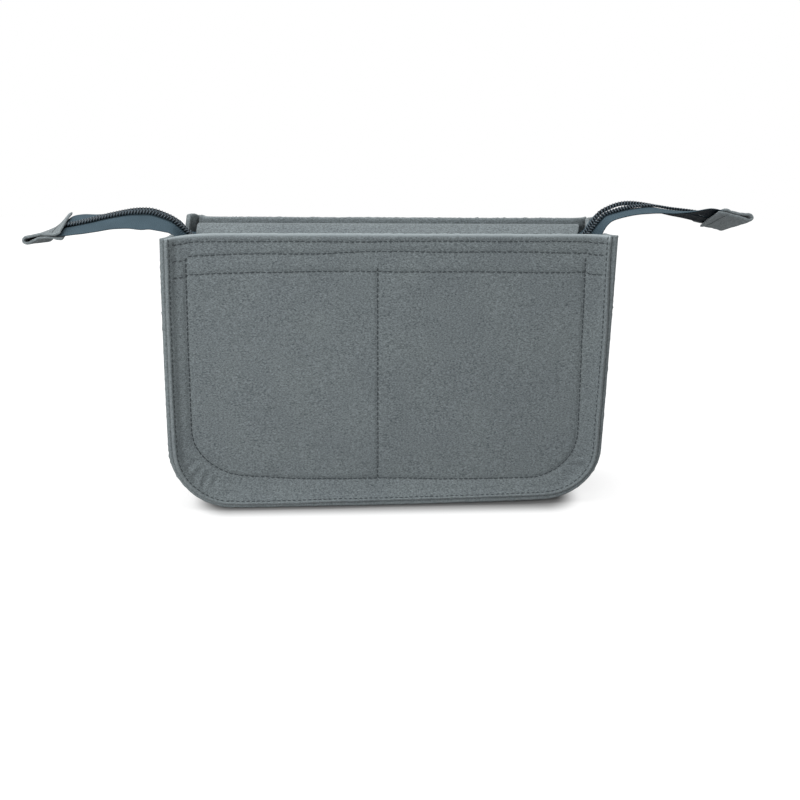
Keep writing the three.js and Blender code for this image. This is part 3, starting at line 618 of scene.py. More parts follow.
def gusset(step=1.7):
    """The strip that makes the two end walls and the base."""
    u = EdgeU(step)
    rows = [(GUSSET_TIP_S + d * COS, GUSSET_TIP_N - d * SIN, FLANGE_ANGLE, d) for d in (*EDGE_ROWS, 1.6, 2.5)]
    rows += [(WALL_TURN_S + WALL_RADIUS * math.sin(a), WALL_TURN_N + WALL_RADIUS * math.cos(a), a, INLAND)
             for a in np.linspace(FLANGE_ANGLE, math.pi / 2, 7)]
    rows += [(WALL_MID, n, math.pi / 2, INLAND) for n in np.linspace(WALL_TURN_N, -PANEL_MID, 9)[1:]]
    whole = [(*r, -1) for r in rows] + [(*r, 1) for r in rows[:-1]][::-1]
    maker = np.random.default_rng(17)
    outer, inner = [], []
    for s, n, a, d, sign in whole:
        y = sign * (PANEL_MID + n)
        bow = WALL_BOW * math.cos(min(1, abs(y) / 21) * math.pi / 2) ** 2
        low = np.where(u.x < 0, PATHS["left"].rim(y), PATHS["right"].rim(y))
        x, z = u.at(s + bow * np.abs(u.ux) * clamp((u.z - 40) / 60))
        z = z - (HEIGHT - low) * clamp((u.z - HEIGHT + 12) / 12)
        normal = xyz(u.ux * math.sin(a), -sign * math.cos(a), u.uz * math.sin(a))
        mid = xyz(x, y, z) + normal * (0.9 * max(0, 1 - d / 2.5) * u.ux ** 2)[:, None]
        thick = FELT * edge_soft(d) * edge_soft(HEIGHT - u.z)
        relief = waves(np.arange(u.count) * step, y, 41, GUSSET_WAVE) * min(1, d / 6)
        if d == 0:
            mid = mid + xyz(u.ux, 0, u.uz) * (RAGGED * maker.standard_normal(u.count))[:, None]
        outer.append(mid + normal * (thick / 2 + relief)[:, None])
        inner.append(mid - normal * (thick / 2 - relief)[:, None])
    return felt_sheet(np.array(outer), np.array(inner), grid_quads(len(whole), u.count))


def climbing(x, way, start):
    """Height of a climb from the level tape to the bend of a tail."""
    rise, grade = (LEFT_RISE, LEFT_GRADE) if way < 0 else (RIGHT_RISE, RIGHT_GRADE)
    t = clamp((x - start) / (PIVOT_X - start))
    if way > 0:
        t = t ** 1.35
    climb = (HEIGHT + rise - TAPE_Z) * (3 * t * t - 2 * t ** 3)
    return TAPE_Z + climb + grade * (PIVOT_X - start) * (t ** 3 - t * t)


def pocket(sign, seams):
    """A slip pocket sewn inside a panel, gaping at its top."""
    x = edged(-POCKET_HALF, POCKET_HALF, spread(-POCKET_HALF + 0.8, POCKET_HALF - 0.8, 2.6, seams)[1:-1])
    over = np.maximum(0, np.abs(x) - (POCKET_HALF - POCKET_CORNER))
    low = POCKET_BASE + POCKET_CORNER - np.sqrt(np.maximum(0, POCKET_CORNER ** 2 - over ** 2))
    share = np.concatenate([[0, 0.002, 0.005, 0.01], np.linspace(0.02, 0.985, 40), [0.99, 0.9945, 0.9985, 1]])
    z = low + (POCKET_TOP - low) * share[:, None]
    up = clamp((z - low - POCKET_SEAM) / (POCKET_TOP - low - POCKET_SEAM))
    bulge = np.zeros_like(z)
    for a, b in zip(seams[:-1], seams[1:]):
        inside = (x >= a) & (x <= b)
        bulge += inside * POCKET_BULGE * np.sin(math.pi * clamp((x - a) / (b - a))) * up ** 1.5
    mid = INNER_FACE - FIT - POCKET_FELT / 2 - bulge + waves(x, z, 51, POCKET_WAVE) * clamp(bulge / 2)
    thick = POCKET_FELT * edge_soft(POCKET_HALF - np.abs(x)) * edge_soft(POCKET_TOP - z) * edge_soft(z - low)
    face, lining = (xyz(x, sign * (mid + way * thick / 2), z) for way in (1, -1))
    return felt_sheet(face, lining, grid_quads(*z.shape))


def flap_section(run):
    """Place and outward normal (y, z) of a flap at a run from the foot of its leg."""
    a = np.clip((run - FLAP_STRAIGHT) / FOLD_RADIUS, 0, FLAP_TURN)
    y = LEG_MID - FOLD_RADIUS + FOLD_RADIUS * np.cos(a)
    z = np.minimum(run, FLAP_STRAIGHT) + FLAP_FOOT + FOLD_RADIUS * np.sin(a)
    past = np.maximum(run - FLAP_BEND, 0)
    return y - past * math.cos(SLOPE), z - past * math.sin(SLOPE), np.cos(a), np.sin(a)


def flap_relief(x, run, sign):
    """Outward relief of a flap: waves where it hangs free, and the dent of its seam."""
    relief = waves(x, run, 61 if sign < 0 else 62, FLAP_WAVE) * smooth((run - 18) / 8)
    return relief - press(run - (FLAP_RUN - FLAP_SEAM), FLAP_DENT)


def flap(sign, margin=1.4):
    """A zip flap: a leg on the panel, a fold below the rim and a slope down to the zip."""
    run = edged(0, FLAP_RUN, spread(margin, FLAP_RUN - margin, 0.9, [FLAP_RUN - FLAP_SEAM]))
    x = edged(-FLAP_END, FLAP_END, spread(-FLAP_END + margin, FLAP_END - margin, 1.8))
    r, w = np.meshgrid(run, x, indexing="ij")
    y, z, ny, nz = flap_section(r)
    ragged = np.random.default_rng(63).standard_normal(r.shape) * 0.1
    w = w + ragged * (np.abs(w) > FLAP_END - 0.1)
    slant = clamp((r - FLAP_BEND) / (FLAP_RUN - FLAP_BEND))
    w = w * (1 - FLAP_CUT / FLAP_END * slant)
    thick = FLAP_FELT * edge_soft(r) * edge_soft(FLAP_RUN - r)
    thick = thick * edge_soft(FLAP_END - FLAP_CUT * slant - np.abs(w))
    relief = flap_relief(w, r, sign)
    offs = (relief + thick / 2, relief - thick / 2)
    face, lining = (xyz(w, sign * (y + ny * off), z + nz * off) for off in offs)
    return felt_sheet(face, lining, grid_quads(*r.shape))


def flap_thread(sign):
    """The stitches along a flap's edge."""
    reach = FLAP_END - FLAP_CUT - 0.6
    x = np.linspace(-reach, reach, 300)
    run = np.full(300, FLAP_RUN - FLAP_SEAM)
    y, z, ny, nz = flap_section(run)
    lift = FLAP_FELT / 2 + flap_relief(x, run, sign)
    points = xyz(x, sign * (y + ny * lift), z + nz * lift)
    verts, faces = stitch_row(points, xyz(0 * x, sign * ny, nz), 64)
    return settle(verts), faces


class TapePath:
    """The zip's middle line from the middle of the box out to one end, with the frame of the tape on it."""

    STEP = 0.5
    PAST_END = 2.0

    def __init__(self, way, points):
        self.way = way
        rise = LEFT_RISE if way < 0 else RIGHT_RISE
        out = np.array([-PIVOT_INSET] + [p[0] for p in points])
        knots = np.stack([HALF + out, HEIGHT + np.array([rise] + [p[1] for p in points])], axis=1)
        tail = self.curve(knots)
        tail = np.concatenate([tail, tail[-1:] + unit(tail[-1:] - tail[-8:-7]) * self.PAST_END])
        level = np.arange(0, PIVOT_X, self.STEP)
        line = np.concatenate([np.stack([level, climbing(level, way, CLIMB_START)], axis=1), tail])
        run = runs(line)
        self.free = run[-1] - self.PAST_END - TAB_LENGTH
        self.run = np.arange(0, run[-1] + 0.001, self.STEP)
        x, z = (np.interp(self.run, run, row) for row in line.T)
        soft = np.exp(-np.linspace(-2, 2, 9) ** 2)
        soft /= soft.sum()
        z = np.convolve(np.pad(z, 4, mode="reflect", reflect_type="odd"), soft, mode="valid")
        slope = np.arctan2(np.gradient(z), np.gradient(x))
        self.place = xyz(way * x, 0, z)
        self.tangent = xyz(way * np.cos(slope), 0, np.sin(slope))
        rising = xyz(-way * np.sin(slope), 0, np.cos(slope))
        level = np.array([0.0, 1.0, 0.0])
        stops = np.concatenate([[-15.0, -7.0], out[1:]])

        def lean(column):
            angles = [p[column] for p in points]
            angle = np.interp(x - HALF, stops, [0.0, 0.6 * angles[0]] + angles)
            angle = np.convolve(np.pad(angle, 8, mode="edge"), np.full(17, 1 / 17), mode="valid")
            angle = np.radians(angle)[:, None]
            cos, sin = np.cos(angle), np.sin(angle)
            return level * cos + rising * sin, rising * cos - level * sin

        self.across, self.up = lean(2)
        self.halves = {-1: lean(3), 1: lean(4)}
        self.loose = smooth((x - 103.0) / 9.0)
        self.base = climbing(x, way, FLAP_END + 1)
        self.gape = self.opening(way * x, clamp((self.run - self.run[np.argmax(x > PIVOT_X)]) / 60.0))

    @staticmethod
    def curve(knots):
        """A smooth curve through the knots, sampled closely."""
        ends = np.concatenate([[2 * knots[0] - knots[1]], knots, [2 * knots[-1] - knots[-2]]])
        a, b, c, d = (ends[k: len(ends) - 3 + k, None] for k in range(4))
        t = np.linspace(0, 1, 24, endpoint=False)[:, None]
        square, cube = 2 * a - 5 * b + 4 * c - d, 3 * b - a - 3 * c + d
        line = 0.5 * (2 * b + (c - a) * t + square * t * t + cube * t ** 3)
        return np.concatenate([line.reshape(-1, 2), knots[-1:]])

    def opening(self, x, tail):
        """How far each coil row stands off the middle line."""
        if self.way < 0:
            return np.zeros_like(x)
        apart = smooth((x - SLIDER_X + 5) / 8)
        closing = smooth((x - SLIDER_X - 30) / (FLAP_END - SLIDER_X - 30))
        box = ROW_SPREAD * apart * (1 - 0.3 * closing)
        beyond = 0.7 + 0.35 * smooth(tail / 0.15) - 0.9 * smooth((tail - 0.4) / 0.35)
        return np.where(x < PIVOT_X, box, ROW_SPREAD * beyond)

    def pick(self, run, values):
        """Values or vectors of the path at the runs."""
        if values.ndim == 1:
            return np.interp(run, self.run, values)
        return np.stack([np.interp(run, self.run, row) for row in values.T], axis=-1)

    def frame(self, run):
        """Place, direction, crosswise and upward vectors and half opening at the runs."""
        tangent, across, up = (unit(self.pick(run, a)) for a in (self.tangent, self.across, self.up))
        return self.pick(run, self.place), tangent, across, up, self.pick(run, self.gape)

    def cloth(self, run, v, sign):
        """Middle of a tape half at runs and distances v from the middle line, and its normal there."""
        place, _, across, up, gape = self.frame(run)
        strip = (COIL_HALF + FIT + gape)[:, None]
        mid = place[:, None] + across[:, None] * (sign * np.minimum(v, strip))[..., None]
        way, normal = (unit(self.pick(run, a))[:, None] for a in self.halves[sign])
        over = np.maximum(v - strip, 0)[..., None]
        tail = mid + way * (sign * over)
        box = mid.copy()
        box[..., 1] += sign * over[..., 0]
        base = self.pick(run, self.base)[:, None] + np.maximum(0, v - FLAP_EDGE) * math.tan(SLOPE)
        fall = clamp((v - strip) / (FLAP_EDGE - strip))
        box[..., 2] += fall * (base - box[..., 2])
        loose = self.pick(run, self.loose)[:, None, None]
        mixed = box * (1 - loose) + tail * loose
        turned = normal * loose + np.array([0.0, 0.0, 1.0]) * (1 - loose)
        return mixed, unit(np.where(over > 0, turned, up[:, None]))

    def rim(self, y):
        """Highest the end wall may reach under the tape at a distance y from the middle."""
        v = np.linspace(0.4, TAPE_HALF, 40)[None]
        low = HEIGHT
        for off in (-4.5, -2, 1):
            run = np.interp(HALF - WALL_MID + off, np.abs(self.place[:, 0]), self.run)
            mid = self.cloth(np.array([run]), v, -1 if y < 0 else 1)[0][0]
            tape_z = float(np.interp(min(abs(y), TAPE_HALF), np.abs(mid[:, 1]), mid[:, 2]))
            low = min(low, tape_z - TAPE / 2 - 0.35)
        return low + (HEIGHT - low) * float(smooth((abs(y) - TAPE_HALF - 0.3) / 3))


def tape(path, sign):
    """One half of the tape, from the middle of the box to its end inside the tab, and its weave's plan."""
    end = path.free + TAB_TUCK
    run = np.linspace(0, end, int(end / 1.1))
    free = path.pick(run, path.loose)
    inner = WEDGE_HALF * (1 - free * (path.way < 0)) + 0.15 + path.frame(run)[4]
    share = np.array([0, 0.02, 0.06, 0.12, 0.17, 0.21, 0.25, 0.3, 0.37,
                      0.46, 0.56, 0.66, 0.76, 0.86, 0.94, 0.98, 1])
    v = inner[:, None] + (TAPE_HALF - inner)[:, None] * share
    along, free = run[:, None], free[:, None]
    edge = 0.12 * free * np.sin(along / 1.7) * (share > 0.97)
    mid, normal = path.cloth(run, v + edge, sign)
    curl = free * waves(along, v, 71 + sign, TAPE_WAVE) * smooth((v - 4) / 6)
    mid = mid + normal * curl[..., None]
    thick = TAPE * np.interp(share, [0, 0.02, 0.9, 0.95, 0.985, 1], [0.6, 1, 1, 1.25, 1.1, 0.5])
    half = normal * (thick / 2)[:, None]
    points, faces = shell(mid + half, mid - half, grid_quads(*v.shape))
    return points, faces, np.stack(np.broadcast_arrays(along, v * sign), axis=-1).reshape(-1, 2)


def sweep(line, side, other, wide, high, sides):
    """A closed tube round a line with half widths along two directions."""
    turn = np.arange(sides) * 2 * math.pi / sides
    ring = side[:, None] * (np.cos(turn) * wide[:, None])[..., None]
    ring = ring + other[:, None] * (np.sin(turn) * high[:, None])[..., None]
    return (line[:, None] + ring).reshape(-1, 3), tube_faces(len(line), sides)


def coil(path, sign):
    """A coil row: a nylon filament wound in flat loops along the tape's inner edge."""
    start = 0.0 if sign < 0 else COIL_PITCH / 2
    turns = int((path.free + COIL_TUCK - start) / COIL_PITCH)
    angle = np.arange(turns * COIL_STEPS + 1) * 2 * math.pi / COIL_STEPS
    place, _, across, up, gape = path.frame(start + COIL_PITCH * angle / (2 * math.pi))
    out, rise = (np.sign(c) * np.abs(c) ** 0.7 for c in (np.cos(angle), np.sin(angle)))
    line = place + across * (sign * (LOOP_MID - LOOP_REACH * out + gape))[:, None]
    line = line + up * (CORD_UP + LOOP_RISE * rise)[:, None]
    along = unit(np.gradient(line, axis=0))
    side = unit(np.cross(along, unit(np.cross(up, across)) + 0.01))
    swell = FILAMENT * (1 + 0.28 * np.exp(-((np.cos(angle) - 1) / 0.2) ** 2))
    return sweep(line, side, np.cross(along, side), swell, swell, FILAMENT_SIDES)


def cord(path, sign):
    """The cord inside a coil row, round which the filament is wound."""
    run = np.linspace(0, path.free + COIL_TUCK, int(path.free))
    place, _, across, up, gape = path.frame(run)
    line = place + across * (sign * (CORD_MID + gape))[:, None] + up * CORD_UP
    ones = np.ones(len(run))
    return sweep(line, across, up, CORD_WIDE * ones, CORD_HIGH * ones, CORD_SIDES)


def tab_line(splays, leaf):
    """Section of an end tab as run along the tape and height over it, from leaf round the loop to leaf."""
    shut = TAB_FELT / 2 + 0.1
    tip = TAB_LENGTH - TAB_FELT / 2
    half = [(0, leaf), (2.5, leaf), (5, max(shut, leaf - 0.1)), (7.5, max(shut, leaf - 0.15)),
            (9.5, shut + 0.06), (11.4, shut), (13, shut + 0.25), (14.8, TAB_LOOP * 0.72),
            (16.4, TAB_LOOP * 0.95), (17.6, TAB_LOOP * 0.85), (tip - 0.4, TAB_LOOP * 0.5), (tip, 0)]
    upper, lower = ([(l, way * (h + splay * max(0, 1 - l / 6) ** 1.6)) for l, h in half]
                    for way, splay in zip((1, -1), splays))
    return TapePath.curve(np.array(upper + lower[:-1][::-1]))


def tab(path, splays, seed, askew, slant):
    """A felt end tab folded round the tape's end, and its stitches; lower leaf askew, upper leaf slanting."""
    middle = tab_line(splays, TAPE / 2 + 0.15 + TAB_FELT / 2)
    sides = tab_line(splays, TAB_FELT / 2 + 0.12)
    run = runs(middle)
    end, half = run[-1], TAB_WIDTH / 2
    even = edged(0, end, np.linspace(1.3, end - 1.3, 64))
    w = edged(-half, half, np.linspace(-half + 1.4, half - 1.4, 26))
    shut = smooth((np.abs(w) - TAPE_HALF - 0.2) / 1.8)
    l, h = ((1 - shut) * np.interp(even, run, a)[:, None] + shut * np.interp(even, run, b)[:, None]
            for a, b in zip(middle.T, sides.T))
    dl, dh = np.gradient(l, even, axis=0), np.gradient(h, even, axis=0)
    nl, nh = -dh / np.hypot(dl, dh), dl / np.hypot(dl, dh)
    lower = (even > end / 2)[:, None]
    turned = lower * askew * clamp((w + half) / TAB_WIDTH) ** 1.4
    turned = turned + ~lower * slant * clamp((half - w) / TAB_WIDTH) ** 1.4
    l = l + turned * clamp(1 - l / TAB_TUCK) + 0.03 * w
    thick = TAB_FELT * (edge_soft(even) * edge_soft(end - even))[:, None] * edge_soft(half - np.abs(w))
    wobble = waves(even[:, None], w, seed, TAB_WAVE)
    seam = np.minimum(np.abs(even - TAB_SEAM), np.abs(end - even - TAB_SEAM))
    dent = press(seam, TAB_DENT)[:, None]
    place, tangent, across, up, _ = path.frame(path.free + l)

    def place_at(off):
        out = place + tangent * (nl * off)[..., None] + up * (h + wobble + nh * off)[..., None]
        return out + across * w[:, None]

    leaf = shell(place_at(thick / 2 - dent), place_at(-thick / 2), grid_quads(len(even), len(w)))
    surface = place_at(thick / 2 - 0.3)
    normal = tangent * nl[..., None] + up * nh[..., None]
    rows = [int(np.argmin(np.abs(even - where))) for where in (TAB_SEAM, end - TAB_SEAM)]
    return leaf, joined(stitch_row(surface[k, 5:-5], normal[k, 5:-5], seed + k) for k in rows)


def plate(name, outline, low, high, bevel, holes=()):
    """A flat plate with rounded edges from a plan outline and its holes."""
    curve = bpy.data.curves.new(name, "CURVE")
    curve.dimensions = "2D"
    curve.fill_mode = "BOTH"
    curve.bevel_depth = bevel * MM
    curve.bevel_resolution = 2
    curve.extrude = ((high - low) / 2 - bevel) * MM
    curve.offset = -bevel * MM
    for loop in (outline, *holes):
        spline = curve.splines.new("POLY")
        spline.points.add(len(loop) - 1)
        for point, (x, y) in zip(spline.points, loop):
            point.co = (x * MM, y * MM, 0, 1)
        spline.use_cyclic_u = True
    maker = link(name + "_maker", curve)
    mesh = bpy.data.meshes.new_from_object(maker.evaluated_get(bpy.context.evaluated_depsgraph_get()))
    bpy.data.objects.remove(maker)
    bpy.data.curves.remove(curve)
    mesh.transform(Matrix.Translation((0, 0, (low + high) / 2 * MM)))
    return mesh


def merge(name, height, turn, *meshes):
    """Several meshes as one object, turned and set on the zip at a height over the tape."""
    work = bmesh.new()
    for mesh in meshes:
        work.from_mesh(mesh)
        bpy.data.meshes.remove(mesh)
    bmesh.ops.remove_doubles(work, verts=work.verts, dist=1e-6)
    bmesh.ops.recalc_face_normals(work, faces=work.faces)
    mesh = bpy.data.meshes.new(name)
    work.to_mesh(mesh)
    work.free()
    mesh.polygons.foreach_set("use_smooth", np.ones(len(mesh.polygons), dtype=bool))
    mesh.transform(Matrix.Rotation(*turn))
    mesh.transform(Matrix.Translation((SLIDER_X * MM, 0, (TAPE_Z + height) * MM)))
    obj = link(name, mesh)
    obj.modifiers.new("edges", "EDGE_SPLIT").split_angle = math.radians(50)
    return obj


def rounded(points, radius, steps=5):
    """A polygon with each corner replaced by a small curve."""
    points = [np.array(p, dtype=float) for p in points]
    out = []
    for k, p in enumerate(points):
        a, b = points[k - 1], points[(k + 1) % len(points)]
        r = min(radius, np.linalg.norm(a - p) * 0.45, np.linalg.norm(b - p) * 0.45)
        start, end = p + unit(a - p) * r, p + unit(b - p) * r
        for t in np.linspace(0, 1, steps):
            out.append(tuple((1 - t) ** 2 * start + 2 * t * (1 - t) * p + t * t * end))
    return out


def mirrored(points):
    """A plan outline from its upper half."""
    return list(points) + [(x, -y) for x, y in reversed(points)]


def slider_shell():
    """The slider's two plates, side walls and wedge."""
    outline = rounded(mirrored([(-6, SLIDER_NARROW - 1.4), (-4.6, SLIDER_NARROW), (2.6, SLIDER_HALF),
                                (5, SLIDER_HALF), (6, SLIDER_HALF - 1.3)]), 1.4)
    under = -TAPE / 2 - FIT
    pieces = [plate("slider_top", outline, PLATE_LOW, PLATE_TOP + 0.1, 0.3),
              plate("slider_sole", outline, under - SLIDER_PLATE, under, 0.3)]

    def inside(x):
        return SLIDER_NARROW - SLIDER_WALL + (SLIDER_HALF - SLIDER_NARROW) * float(clamp((x + 5.2) / 8.2))

    for sign in (-1, 1):
        line = [(x, sign * (inside(x) + SLIDER_WALL - 0.04)) for x in np.linspace(-5, 5, 12)]
        back = [(x, sign * (inside(x) + 0.02)) for x in np.linspace(5, -5, 12)]
        pieces.append(plate("slider_wall", line + back, TAPE / 2 + FIT, PLATE_LOW + 0.4, 0.12))
    wedge = rounded(mirrored([(0.5, 0.1), (3, WEDGE_HALF), (5, WEDGE_HALF)]), 0.4)
    pieces.append(plate("slider_wedge", wedge, under - 0.45, PLATE_LOW + 0.45, 0.1))
    return merge("slider_shell", 0, (0, 4, "X"), *pieces)


def slider_bail():
    """The arched crown on the slider."""
    low, inner = PLATE_TOP - 0.1, PLATE_TOP + CROWN_SPACE
    outer = inner + CROWN_STRAP
    arch = [(-3.4, low), (-3.4, outer - 1.2), (-2.4, outer - 0.2), (0, outer)]
    arch += [(-x, z) for x, z in arch[2::-1]]
    hollow = [(2.7, low), (2.7, inner - 0.8), (1.9, inner - 0.1), (0, inner)]
    hollow += [(-x, z) for x, z in hollow[2::-1]]
    bail = plate("bail", rounded(arch + hollow, 0.5, 4), -1.1, 1.1, 0.25)
    return merge("slider_bail", 0, (math.pi / 2, 4, "X"), bail)


def pull_drop():
    """The pull: a drop with an eye, a long slot and a raised field, lying on the zip."""
    round_x, round_y = -23.2, 4.75
    rim = [(0.6, 2.1), (0, 2.6), (-4.4, 2.5), (-7.4, 2.25), (-12.5, 3.0), (-16.5, 3.95), (-20.5, round_y),
           (round_x, round_y)]
    rim += [(round_x - round_y * math.sin(a), round_y * math.cos(a) ** 0.85) for a in np.linspace(0.2, 1.5, 8)]
    eye = rounded(mirrored([(-0.6, 1.5), (-3.6, 1.5), (-4.4, 0.9)]), 0.5, 4)
    slot = rounded(mirrored([(-6.8, 0.55), (-18, 1.75), (-19, 1.2)]), 0.5, 4)
    field = mirrored([(-20.2, 2.6), (-20.8, 3.6), (-23.4, 3.75), (-25.4, 2.9), (-26.7, 1.3)])
    half = PULL_THICKNESS / 2
    flat = plate("pull_flat", rounded(mirrored(rim), 0.6, 3), -half, half, 0.26, [eye, slot])
    dome = plate("pull_dome", rounded(field, 1.0, 5), 0.2, 0.95, 0.32)
    lie = math.asin((BAR - COIL_TOP - FIT - half) / 28.0)
    return merge("pull_drop", BAR, (-lie, 4, "Y"), flat, dome)


class Nodes:
    """A short way to write the nodes of a material or of the world."""

    def __init__(self, owner, shader="Principled BSDF"):
        self.owner = owner
        owner.use_nodes = True
        self.tree = owner.node_tree
        self.shader = self.tree.nodes[shader]

    def put(self, socket, value):
        if isinstance(value, bpy.types.NodeSocket):
            self.tree.links.new(value, socket)
        else:
            socket.default_value = value

    def add(self, kind, inputs=None, **settings):
        node = self.tree.nodes.new(kind)
        for key, value in settings.items():
            setattr(node, key, value)
        for key, value in (inputs or {}).items():
            self.put(node.inputs[key], value)
        return node

    def math(self, operation, a, b=0.0, c=0.0):
        return self.add("ShaderNodeMath", {0: a, 1: b, 2: c}, operation=operation).outputs[0]

    def scaled(self, value, by, plus):
        return self.math("MULTIPLY_ADD", value, by, plus)

    def ramp(self, value, *stops):
        node = self.add("ShaderNodeValToRGB", {"Fac": value})
        for element, (place, colour) in zip(node.color_ramp.elements, stops):
            element.position = place
            element.color = (*colour, 1)
        return node.outputs["Color"]

    def noise(self, vector, scale, detail, rough):
        inputs = {"Vector": vector, "Scale": scale, "Detail": detail, "Roughness": rough}
        return self.add("ShaderNodeTexNoise", inputs).outputs["Fac"]

    def stretched(self, scale=(1, 1, 1)):
        place = self.add("ShaderNodeTexCoord").outputs["Object"]
        return self.add("ShaderNodeMapping", {"Vector": place, "Scale": scale}).outputs["Vector"]

    def attribute(self, name):
        return self.add("ShaderNodeAttribute", attribute_name=name).outputs["Fac"]

    def mix(self, fac, a, b, blend="MIX"):
        node = self.add("ShaderNodeMix", {0: fac}, data_type="RGBA", blend_type=blend)
        for socket, value in ((node.inputs[6], a), (node.inputs[7], b)):
            self.put(socket, (*value, 1) if isinstance(value, tuple) else value)
        return node.outputs[2]

    def bump(self, height, strength, distance):
        inputs = {"Height": height, "Strength": strength, "Distance": distance}
        return self.add("ShaderNodeBump", inputs).outputs["Normal"]

    def seen(self):
        """1 for what the eye sees, directly, mirrored or through glass; 0 for light on the part."""
        ray = self.add("ShaderNodeLightPath").outputs
        through = self.math("MAXIMUM", ray["Is Glossy Ray"], ray["Is Transmission Ray"])
        return self.math("MAXIMUM", ray["Is Camera Ray"], through)

    def finish(self, **sockets):
        for key, value in sockets.items():
            self.put(self.shader.inputs[key.replace("_", " ")], value)
        return self.owner


def felt_material(name, grain):
    """Pressed felt: tangled short fibres, pale specks, cloudy tone, lighter fuzz at cut edges, and a painted
    highlight where the cut mark is raised along a rim.
    """
    dark, light = (0.062, 0.075, 0.080), (0.288, 0.329, 0.343)
    n = Nodes(bpy.data.materials.new(name))
    lay = n.stretched(grain)
    fibres = n.noise(lay, 2200, 5, 0.74)
    tangle = n.noise(n.stretched(tuple(0.5 + 0.5 * g for g in grain)), 1100, 4, 0.65)
    clouds = n.noise(n.stretched(), 38, 3, 0.55)
    tone = n.scaled(fibres, 0.7, n.math("MULTIPLY", tangle, 0.3))
    base = n.ramp(tone, (0.36, dark), (0.64, light))
    cloudy = n.ramp(clouds, (0.3, (0.94, 0.94, 0.95)), (0.7, (1.04, 1.04, 1.03)))
    colour = n.mix(1.0, base, cloudy, "MULTIPLY")
    pale = n.ramp(n.noise(lay, 2300, 2, 0.5), (0.66, (0, 0, 0)), (0.74, (1, 1, 1)))
    colour = n.mix(n.math("MULTIPLY", pale, 0.16), colour, tuple(min(1, 1.9 * v) for v in light))
    # Lighter towards the cut edges: the felt's own pale fuzz, and on the front panel's rim a painted
    # highlight.
    fuzz = n.math("MULTIPLY", n.attribute("cut"), n.scaled(fibres, 0.9, 0.25))
    colour = n.mix(fuzz, colour, tuple(1.12 * v for v in light))
    height = n.scaled(fibres, 0.6, n.math("MULTIPLY", tangle, 0.8))
    rough = n.scaled(fibres, 0.12, 0.86)
    return n.finish(Base_Color=colour, Roughness=rough, Normal=n.bump(height, 0.55, 0.0006),
                    Sheen_Weight=0.12, Sheen_Roughness=0.5, Specular_IOR_Level=0.15)


def tape_material(name):
    """Woven zip tape with a herringbone twill, and painted shade that draws its underside near black."""
    n = Nodes(bpy.data.materials.new(name))
    weave = n.add("ShaderNodeUVMap", uv_map="weave").outputs["UV"]
    split = n.add("ShaderNodeSeparateXYZ", {"Vector": weave})
    along, across = split.outputs["X"], split.outputs["Y"]

    def ribs(place, pitch):
        wave = n.math("SINE", n.math("MULTIPLY", place, 2 * math.pi / pitch))
        return n.scaled(wave, 0.5, 0.5)

    rib = ribs(n.math("ADD", along, n.math("PINGPONG", across, 0.0021)), 0.00095)
    pick = ribs(across, 0.0007)
    plain = n.stretched()
    fuzz = n.noise(plain, 1800, 3, 0.6)
    clouds = n.noise(plain, 60, 2, 0.5)
    tone = n.scaled(fuzz, 0.35, n.math("MULTIPLY", pick, 0.1))
    tone = n.scaled(rib, 0.55, tone)
    base = n.ramp(tone, (0.15, (0.030, 0.049, 0.063)), (0.9, (0.096, 0.142, 0.173)))
    cloudy = n.ramp(clouds, (0.3, (0.92, 0.92, 0.92)), (0.7, (1.08, 1.08, 1.08)))
    colour = n.mix(1.0, base, cloudy, "MULTIPLY")
    # Painted shade: the underside, marked by the under attribute, is drawn near black.
    dark = n.ramp(fuzz, (0.3, (0.001, 0.003, 0.005)), (0.7, (0.004, 0.009, 0.014)))
    colour = n.mix(n.attribute("under"), colour, dark)
    height = n.scaled(rib, 0.7, n.math("MULTIPLY", pick, 0.3))
    return n.finish(Base_Color=colour, Roughness=n.scaled(fuzz, 0.2, 0.62),
                    Normal=n.bump(height, 0.6, 0.00018), Specular_IOR_Level=0.04)


def strand_material(name, grain, dark, light, rough, bump, fine=None, **sockets):
    """Nylon or thread: a fine grain that sets tone, gloss and relief."""
    n = Nodes(bpy.data.materials.new(name))
    plain = n.stretched()
    tone = n.noise(plain, *grain)
    relief = n.noise(plain, *fine) if fine else tone
    return n.finish(Base_Color=n.ramp(tone, (0.3, dark), (0.75, light)),
                    Roughness=n.scaled(tone, *rough), Normal=n.bump(relief, *bump), **sockets)


def metal_material(name):
    """Pale gold plate with fine scratches."""
    n = Nodes(bpy.data.materials.new(name))
    scratch = n.noise(n.stretched((0.25, 2.2, 1.5)), 900, 4, 0.65)
    tint = n.noise(n.stretched(), 120, 3, 0.5)
    colour = n.ramp(tint, (0.3, (0.52, 0.41, 0.31)), (0.7, (0.66, 0.54, 0.43)))
    return n.finish(Base_Color=colour, Metallic=1.0, Roughness=n.scaled(scratch, 0.2, 0.18),
                    Normal=n.bump(scratch, 0.08, 0.0001))


felt = felt_material("grey_felt", (0.5, 1.0, 1.0))
felt_strip = felt_material("grey_felt_strip", (1.0, 1.0, 0.5))
twill = tape_material("zip_tape_twill")
nylon = strand_material("zip_coil_nylon", (900, 3, 0.6), (0.028, 0.047, 0.062), (0.060, 0.090, 0.112),
                        (0.16, 0.26), (0.12, 0.00008), (2600, 2, 0.5), Specular_IOR_Level=0.4)
# The cord is drawn near black: partly its own dark navy, partly painted shade in the gaps between the
# filament's loops.
filler = strand_material("zip_coil_cord", (1900, 3, 0.6), (0.002, 0.004, 0.006), (0.006, 0.010, 0.014),
                         (0.15, 0.78), (0.3, 0.0001), Specular_IOR_Level=0.2)
gold = metal_material("champagne_plate")
# The thread is drawn dark grey, darker than the felt's own grey, as painted shade in the dents the stitches
# lie in.
sewing = strand_material("sewing_thread", (2600, 2, 0.6), (0.020, 0.027, 0.030), (0.060, 0.074, 0.080),
                         (0.2, 0.7), (0.5, 0.00015), Sheen_Weight=0.1)


